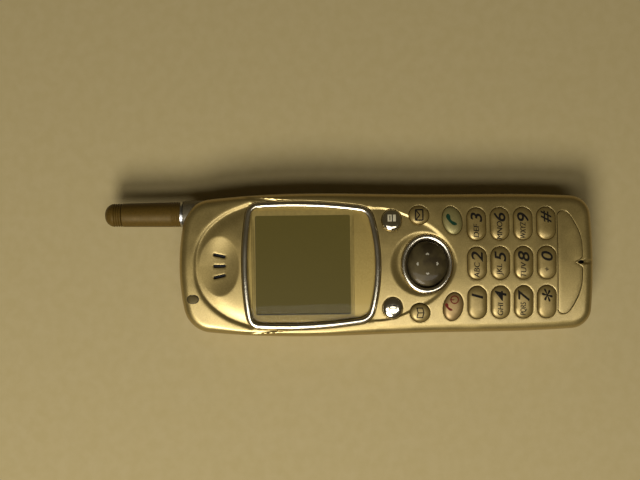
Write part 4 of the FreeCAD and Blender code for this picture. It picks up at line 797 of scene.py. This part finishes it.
def pillow(loop, middle, first, count, height):
    """Rings of a loop scaled towards its middle, each share the sine of an even step up to 90 degrees."""
    shares = np.sin(np.linspace(first, 1, count) * math.pi / 2)
    return [lifted(np.array(middle) + share * (loop - middle), height) for share in shares]


def key_cap(name, material):
    """One key: its outline scaled towards its middle in rings, a wall, and the flange that keeps it in."""
    shape, a, b, x, y, tilt = KEYS[name]
    shell = Shell()
    loop = oval(*KEYS[name])
    height = key_top(name)
    flange_top, flange_foot = KEY_FLANGE_Z
    flange = match(oval(shape, a + KEY_FLANGE, b + KEY_FLANGE, x, y, tilt), len(loop))
    rings = pillow(loop, (x, y), 0.12, 15, height)
    rings += [lifted(loop, flange_top), lifted(flange, flange_top), lifted(flange, flange_foot)]
    shell.cap(rings[0], (x, y, height(x, y)), True)
    shell.band(rings)
    shell.cap(rings[-1], (x, y, flange_foot), False)
    shell.make(name + "_cap", material, name, (name,))


def lettering(text, size, x, y, shear, wide, weight):
    """Flat triangles of a word centred on (x, y), its strokes thickened by the weight."""
    curve = bpy.data.curves.new("word", "FONT")
    curve.body, curve.size, curve.shear, curve.resolution_u, curve.offset = text, size, shear, 4, weight
    holder = bpy.data.objects.new("word", curve)
    scene.collection.objects.link(holder)
    bpy.context.view_layer.update()
    mesh = bpy.data.meshes.new_from_object(holder.evaluated_get(bpy.context.evaluated_depsgraph_get()))
    bpy.data.objects.remove(holder)
    work = bmesh.new()
    work.from_mesh(mesh)
    bmesh.ops.remove_doubles(work, verts=work.verts, dist=1e-5)
    bmesh.ops.triangulate(work, faces=work.faces)
    for _ in range(5):
        bmesh.ops.subdivide_edges(work, edges=[e for e in work.edges if e.calc_length() > 0.32], cuts=1)
        bmesh.ops.triangulate(work, faces=work.faces)
    work.to_mesh(mesh)
    work.free()
    points = np.empty(len(mesh.vertices) * 3)
    mesh.vertices.foreach_get("co", points)
    corners = np.empty(len(mesh.polygons) * 3, int)
    mesh.polygons.foreach_get("vertices", corners)
    bpy.data.meshes.remove(mesh)
    points = points.reshape(-1, 3)[:, :2]
    points = (points - (points.min(0) + points.max(0)) / 2) * (wide, 1) + (x, y)
    return points, corners.reshape(-1, 3)


def stroke(path, width):
    """Flat triangles of a line drawn along a path: at each step a row of points from half the width on one
    side to half the width on the other, at most 0.3 mm apart."""
    path = np.asarray(path, float)
    long_path = []
    for a, b in zip(path[:-1], path[1:]):
        count = max(2, int(np.hypot(*(b - a)) / 0.25) + 1)
        long_path.append(a + (b - a) * np.linspace(0, 1, count, endpoint=False)[:, None])
    path = np.r_[np.concatenate(long_path), path[-1:]]
    along = np.gradient(path, axis=0)
    along /= np.maximum(np.hypot(*along.T), 1e-9)[:, None]
    half = np.broadcast_to(np.asarray(width) / 2, len(path)) if np.ndim(width) == 0 else \
        np.interp(np.linspace(0, 1, len(path)), np.linspace(0, 1, len(width)), width) / 2
    normal = np.c_[-along[:, 1], along[:, 0]] * half[:, None]
    across = np.linspace(-1, 1, 2 + int(np.max(width) / 0.3))
    points = (path[:, None] + normal[:, None] * across[:, None]).reshape(-1, 2)
    row = len(across)
    k = (np.arange(len(path) - 1)[:, None] * row + np.arange(row - 1)).ravel()
    return points, np.r_[np.c_[k, k + row, k + row + 1], np.c_[k, k + row + 1, k + 1]]


def turned(path, x, y, angle=0.0, size=1.0):
    """A path scaled, turned by an angle in degrees and moved to (x, y)."""
    return np.asarray(path, float) * size @ rotation(angle) + (x, y)


def printed(name, marks, height, material, body, lift=INK):
    """Ink laid on a surface: flat marks raised to height(x, y), a few hundredths thick and closed."""
    points, faces, count = [], [], 0
    for flat, corners in marks:
        points.append(flat)
        faces.append(corners + count)
        count += len(flat)
    flat, faces = np.concatenate(points), np.concatenate(faces)
    z = height(*flat.T)
    top, low = np.c_[flat, z + lift], np.c_[flat, z - 0.03]
    edges = np.concatenate([faces[:, [0, 1]], faces[:, [1, 2]], faces[:, [2, 0]]])
    _, where, times = np.unique(np.sort(edges, axis=1), axis=0, return_inverse=True, return_counts=True)
    rim = edges[times[where.ravel()] == 1]
    walls = np.c_[rim[:, 0], rim[:, 0] + count, rim[:, 1] + count, rim[:, 1]]
    mesh = bpy.data.meshes.new(name)
    mesh.from_pydata((np.r_[top, low] * MM).tolist(), [],
                     faces.tolist() + (faces[:, ::-1] + count).tolist() + walls.tolist())
    seated(name, mesh, material, body)


# Drawings, each centred near (0, 0) and lying along +X
HANDSET = 2.9 * around(np.radians(np.linspace(136, 44, 15))) - (0, 2.5)
HANDSET_WIDTH = np.array((0.35, 0.95, 1.05, 0.9, 0.8, 0.9, 1.2, 1.3, 0.5))
POWER_RING = 1.15 * around(np.linspace(0, math.tau, 41))
ENVELOPE = ((-1, -0.7), (1, -0.7), (1, 0.7), (-1, 0.7), (-1, -0.7))
FLAP = ((-1, 0.7), (0, -0.1), (1, 0.7))
PAGES = ((0, -0.8), (-1.1, -0.5), (-1.1, 0.8), (0, 0.5), (1.1, 0.8), (1.1, -0.5), (0, -0.8))
FRAME = ((-0.8, -1.0), (0.8, -1.0), (0.8, 1.0), (-0.8, 1.0), (-0.8, -1.0))
ARROW = ((-0.42, 2.8), (0, 3.2), (0.42, 2.8))

# What is drawn on each key: key, ending of the piece's name, ink, lift, and lines as (path, width)
KEY_DRAWINGS = (
    ("call_key", "_mark", green_ink, INK, [(turned(HANDSET, 13.3, -19.4, 40), HANDSET_WIDTH)]),
    ("end_key", "_mark", red_ink, INK, [(turned(HANDSET, -13.4, -18.3, 40, 0.66), 0.75 * HANDSET_WIDTH),
                                        (turned(POWER_RING, -11.1, -20.1), 0.34),
                                        (((-11.1, -20.0), (-11.1, -18.7)), 0.34)]),
    ("mail_key", "_mark", dark_ink, INK, [(turned(ENVELOPE, 15.0, -9.6, 0, 1.6), 0.42),
                                          (turned(FLAP, 15.0, -9.6, 0, 1.6), 0.36)]),
    ("book_key", "_mark", dark_ink, INK, [(turned(PAGES, -15.0, -9.6, 0, 1.35), 0.32),
                                          (turned(((0, -0.8), (0, 0.5)), -15.0, -9.6, 0, 1.35), 0.3)]),
    ("soft_key_right", "_tile", pale_tile, INK, [(((13.1, -1.15), (15.2, -1.15)), 2.5)]),
    ("soft_key_right", "_mark", dark_ink, 0.02, [(((13.4, -0.6), (14.9, -0.6)), 0.3),
                                                 (((13.1, -1.35), (15.2, -1.35)), 0.34)]),
    ("soft_key_left", "_mark", dark_ink, INK, [(turned(FRAME, -13.5, -1.2), 0.3),
                                               (((-13.5, -2.2), (-13.5, -0.2)), 0.24)]))
KEY_PAINTS = {"call_key": call_paint, "end_key": end_paint, "soft_key_right": key_chrome,
              "soft_key_left": key_chrome}
SIGNS = {"star": ("*", 7.0), "hash": ("#", 4.4)}


def keys():
    """Every key and what is printed on it: a digit on its +X half, small letters beside it, or a drawing."""
    for name, (shape, _, _, x, y, _) in KEYS.items():
        key_cap(name, KEY_PAINTS.get(name, key_paint))
        if shape == "stadium":
            sign, size = SIGNS.get(name[4:], (name[4:], 4.9))
            big = lettering(sign, size, x + 2.0, y + 0.1, 0.22, 1.25, 0.07)
            printed(name + "_digit", [big], key_top(name), dark_ink, name)
        letters = KEY_LETTERS.get(name, "")
        if letters:
            wide = 0.7 if len(letters) == 4 else 1.0
            small = [lettering(letters, 2.4, x - 2.1 + shift, y + 0.2, 0.15, wide, 0.0)
                     for shift in (0.0, LETTER_STRIKE)]
            printed(name + "_letters", small, key_top(name), dark_ink, name)
    for name, ending, ink, lift, lines in KEY_DRAWINGS:
        printed(name + ending, [stroke(*line) for line in lines], key_top(name), ink, name, lift)


def dome_top(x, y):
    """Height of the direction key's dome: its foot plus its height times the root of 1 less the distance out,
    as a share of the way to its edge, to the power 2.4."""
    share = np.hypot(x / NAV_DOME_HALF[0], (y - NAV_Y) / NAV_DOME_HALF[1])
    return NAV_DOME_Z + NAV_DOME_HEIGHT * np.sqrt(np.clip(1 - share ** 2.4, 0, 1))


def direction_ring():
    """The bright ring, its section like the display trim's: the sine of the way over to the power 0.7."""
    shell = Shell()
    rings = []
    for a in np.linspace(0, math.pi, 17):
        halves = (half - band * (1 - math.cos(a)) / 2 for half, band in zip(NAV_RING_HALF, NAV_RING_BAND))
        loop = oval("ellipse", *halves, 0, NAV_Y, 0)
        loop = match(loop, len(rings[0])) if rings else loop
        rings.append(lifted(loop, NAV_RING_Z + NAV_RING_HEIGHT * math.sin(a) ** 0.7))
    low = [lifted(ring[:, :2], NAV_RING_FOOT_Z) for ring in (rings[-1], rings[0])]
    shell.band((rings + low + rings[:1])[::-1])
    shell.make("direction_ring", chrome, "phone", ("nav_ring",), sharp=50)


def direction_dome():
    """The smoked dome with its flange and stem, and the four arrows on it."""
    shell = Shell()
    loop = oval("ellipse", *NAV_DOME_HALF, 0, NAV_Y, 0)
    flange = match(oval("ellipse", *(half + NAV_FLANGE for half in NAV_DOME_HALF), 0, NAV_Y, 0), len(loop))
    stem = match(oval("ellipse", *NAV_STEM_HALF, 0, NAV_Y, 0), len(loop))
    flange_top, flange_foot = NAV_FLANGE_Z
    rings = pillow(loop, (0, NAV_Y), 0.08, 18, dome_top)
    rings += [lifted(loop, flange_top), lifted(flange, flange_top), lifted(flange, flange_foot),
              lifted(stem, flange_foot), lifted(stem, NAV_STEM_FOOT_Z)]
    shell.cap(rings[0], (0, NAV_Y, dome_top(0, NAV_Y)), True)
    shell.band(rings)
    shell.cap(rings[-1], (0, NAV_Y, NAV_STEM_FOOT_Z), False)
    shell.make("direction_dome", smoke, "nav_key", ("nav_key",))
    arrows = [stroke(turned(ARROW, 0, NAV_Y, 90 * k), 0.46) for k in range(4)]
    printed("direction_marks", arrows, dome_top, pale_ink, "nav_key")


# ---------------- small pieces

def revolved(name, profile, material, body, replaced):
    """A profile of (y, radius) turned about the antenna's axis and closed at both ends."""
    count = 96
    turn = np.arange(count) * math.tau / count
    y, r = np.asarray(profile, float).T
    rings = np.stack([ANTENNA_X + r[:, None] * np.cos(turn), np.broadcast_to(y[:, None], (len(y), count)),
                      ANTENNA_Z + r[:, None] * np.sin(turn)], -1)
    shell = Shell()
    shell.band(rings)
    shell.cap(rings[0], (ANTENNA_X, y[0], ANTENNA_Z), True)
    shell.cap(rings[-1], (ANTENNA_X, y[-1], ANTENNA_Z), False)
    shell.make(name, material, body, replaced, 35)


def antenna_sleeve():
    """The stub: a taper, less a cosine's rings at its foot and a small round at each end."""
    y = np.linspace(SLEEVE_FOOT_Y + 0.05, SLEEVE_HEAD_Y, 160)
    foot = smooth_step((67.4 - y) / 0.4)
    r = SLEEVE_R - SLEEVE_TAPER * (y - SLEEVE_FOOT_Y)
    r = r - 0.11 * foot * (0.5 - 0.5 * np.cos((y - SLEEVE_FOOT_Y) * math.tau / 0.55))
    r = r - 0.12 * smooth_step((64.55 - y) / 0.3) - 0.18 * smooth_step((y - 82.35) / 0.25) ** 2
    revolved("antenna_sleeve", np.c_[y, r], antenna_plastic, "phone", ("antenna_stub",))


def antenna_tip():
    """The knob: a cylinder with three grooves, each a bell curve, and a quarter of an ellipse at its head."""
    rise = KNOB_ROUND * np.sin(np.linspace(0.02, 1, 26) * math.pi / 2)
    y = np.concatenate([np.linspace(KNOB_FOOT_Y, KNOB_ROUND_Y, 46), KNOB_ROUND_Y + rise])
    fall = np.sqrt(np.clip(1 - (np.maximum(y - KNOB_ROUND_Y, 0) / KNOB_ROUND) ** 2, 0, 1))
    r = KNOB_R - KNOB_ROUND * (1 - fall) - 0.15 * smooth_step((82.95 - y) / 0.2)
    for k in range(3):
        r = r - 0.25 * np.exp(-((y - KNOB_RIB_Y - KNOB_RIB_PITCH * k) / 0.16) ** 2)
    revolved("antenna_tip", np.c_[y, r], antenna_plastic, "whip", ("antenna_knob",))


def antenna_collar():
    """The moulded collar round the antenna's foot: rings of an arc that is cut off at the parting line."""
    lean = math.asin((ANTENNA_Z - PARTING_Z) / COLLAR_R)
    turn = np.linspace(-lean, math.pi + lean, 41)
    rings = []
    for y, r in ((55.5, COLLAR_R), (62.9, COLLAR_R), (63.2, 4.25), (63.35, 4.05), (63.4, 3.3)):
        x, z = (r * around(turn) + (ANTENNA_X, ANTENNA_Z)).T
        rings.append(np.c_[np.r_[x, ANTENNA_X], np.full(42, y), np.r_[np.maximum(z, PARTING_Z), PARTING_Z]])
    shell = Shell()
    shell.band(rings)
    for k, top in ((0, True), (-1, False)):
        shell.cap(rings[k], (ANTENNA_X, rings[k][0, 1], PARTING_Z + 0.3), top)
    shell.make("antenna_collar", collar_plastic, "phone")


def small_front_pieces():
    """The foot plate, the indicator's lens and the dark cloth behind the earpiece."""
    plate("foot_plate", champagne, foot_panel_loop(0.0), [], crown, below_crown(0.6), 1.2, ("foot_panel",),
          rim=0.12)
    loop = oval("stadium", *INDICATOR_HALF, *INDICATOR, 0, 0.12)
    middle = np.array(INDICATOR)
    shell = Shell()
    rings = [lifted(middle + s * (loop - middle), cover_top) + (0, 0, 0.02 + 0.16 * math.sqrt(1 - s ** 2.5))
             for s in np.sin(np.linspace(0.1, 1, 9) * math.pi / 2)]
    rings.append(rings[-1] - (0, 0, 0.5))
    shell.cap(rings[0], rings[0].mean(0) + (0, 0, 0.003), True)
    shell.band(rings)
    shell.cap(rings[-1], rings[-1].mean(0), False)
    shell.make("indicator_dome", olive_lens, "phone", ("indicator_lens",))
    seat = Shell()
    rings = [lifted(grown(loop, grow), cover_top) + (0, 0, 0.015) for grow in (-0.1, 0.16)]
    low = [ring - (0, 0, 0.4) for ring in rings[::-1]]
    seat.band(rings + low + rings[:1])
    seat.make("indicator_seat", felt, "phone")
    plate("ear_cloth", felt, oval("ellipse", 7.0, 4.0, 0, EAR_Y, 0), [], *map(below_crown, CLOTH_DEPTH), 1.5)


NODE_FINISHES = {
    champagne: ("rear_cover", "screw_plugs"),
    battery_shell: ("battery_case", "battery_catch"),
    lcd_glass: ("lcd_panel",),
    white_plastic: ("lcd_backlight",),
    board: ("main_pcb",),
    steel: ("rf_shield", "logic_shield", "sim_holder", "backup_cell", "antenna_bushing", "battery_cell",
            "vibration_weight", "case_screws"),
    spring: ("catch_spring", "switch_domes", "antenna_whip", "vibration_motor"),
    gold: ("battery_contacts", "battery_pads"),
    rubber: ("keypad_mat", "microphone_boot"),
    foam: ("earpiece_gasket",),
    dark_plastic: ("nav_carrier", "nav_base", "earpiece_speaker", "microphone", "ringer", "foot_connector",
                   "antenna_tube", "battery_lid"),
}


def repaint():
    """Give each CAD node its finish."""
    for material, names in NODE_FINISHES.items():
        for name in names:
            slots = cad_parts[name].data.materials
            slots.clear()
            slots.append(material)


# ---------------- studio

def studio():
    """A pale floor, a soft key light and a long strip light, both on the -X side, a dim warm world, and the
    camera straight above."""
    mesh = bpy.data.meshes.new("floor")
    mesh.from_pydata([(-3, -3, 0), (3, -3, 0), (3, 3, 0), (-3, 3, 0)], [], [(0, 1, 2, 3)])
    floor = bpy.data.objects.new("floor", mesh)
    scene.collection.objects.link(floor)
    mesh.materials.append(finish("floor_paper", "ae9b69", "b19e6d", 0.9, grain=300.0, bump=0.02))
    floor.location.z = -0.0002
    for name, place, length, width, power in (("key_light", (-0.44, 0.15, 0.50), 0.3, 0.3, 3.5),
                                              ("strip_light", (-0.29, 0.0, 0.84), 0.8, 0.2, 2.0)):
        light = bpy.data.lights.new(name, "AREA")
        light.shape, light.size, light.size_y, light.energy = "ELLIPSE", length, width, power
        lamp = bpy.data.objects.new(name, light)
        lamp.location = place
        lamp.rotation_euler = (-Vector(place)).to_track_quat("-Z", "Y").to_euler()
        scene.collection.objects.link(lamp)
    world = bpy.data.worlds.new("studio")
    world.use_nodes = True
    sky = world.node_tree.nodes["Background"].inputs
    sky["Color"].default_value = tint("e0cfa6")
    sky["Strength"].default_value = 0.07
    scene.world = world
    camera = bpy.data.cameras.new("camera")
    camera.lens, camera.sensor_width = 52.14, 36.0
    camera.clip_start = 0.01
    eye = bpy.data.objects.new("camera", camera)
    eye.location = (7.69 * MM, 20.87 * MM, 300.4 * MM)
    eye.rotation_euler = (0, 0, math.radians(-90.7))
    scene.collection.objects.link(eye)
    scene.camera = eye
    scene.view_settings.view_transform = "Standard"


studio()
front_cover()
trim_band()
display()
keys()
direction_ring()
direction_dome()
antenna_sleeve()
antenna_tip()
antenna_collar()
small_front_pieces()
repaint()
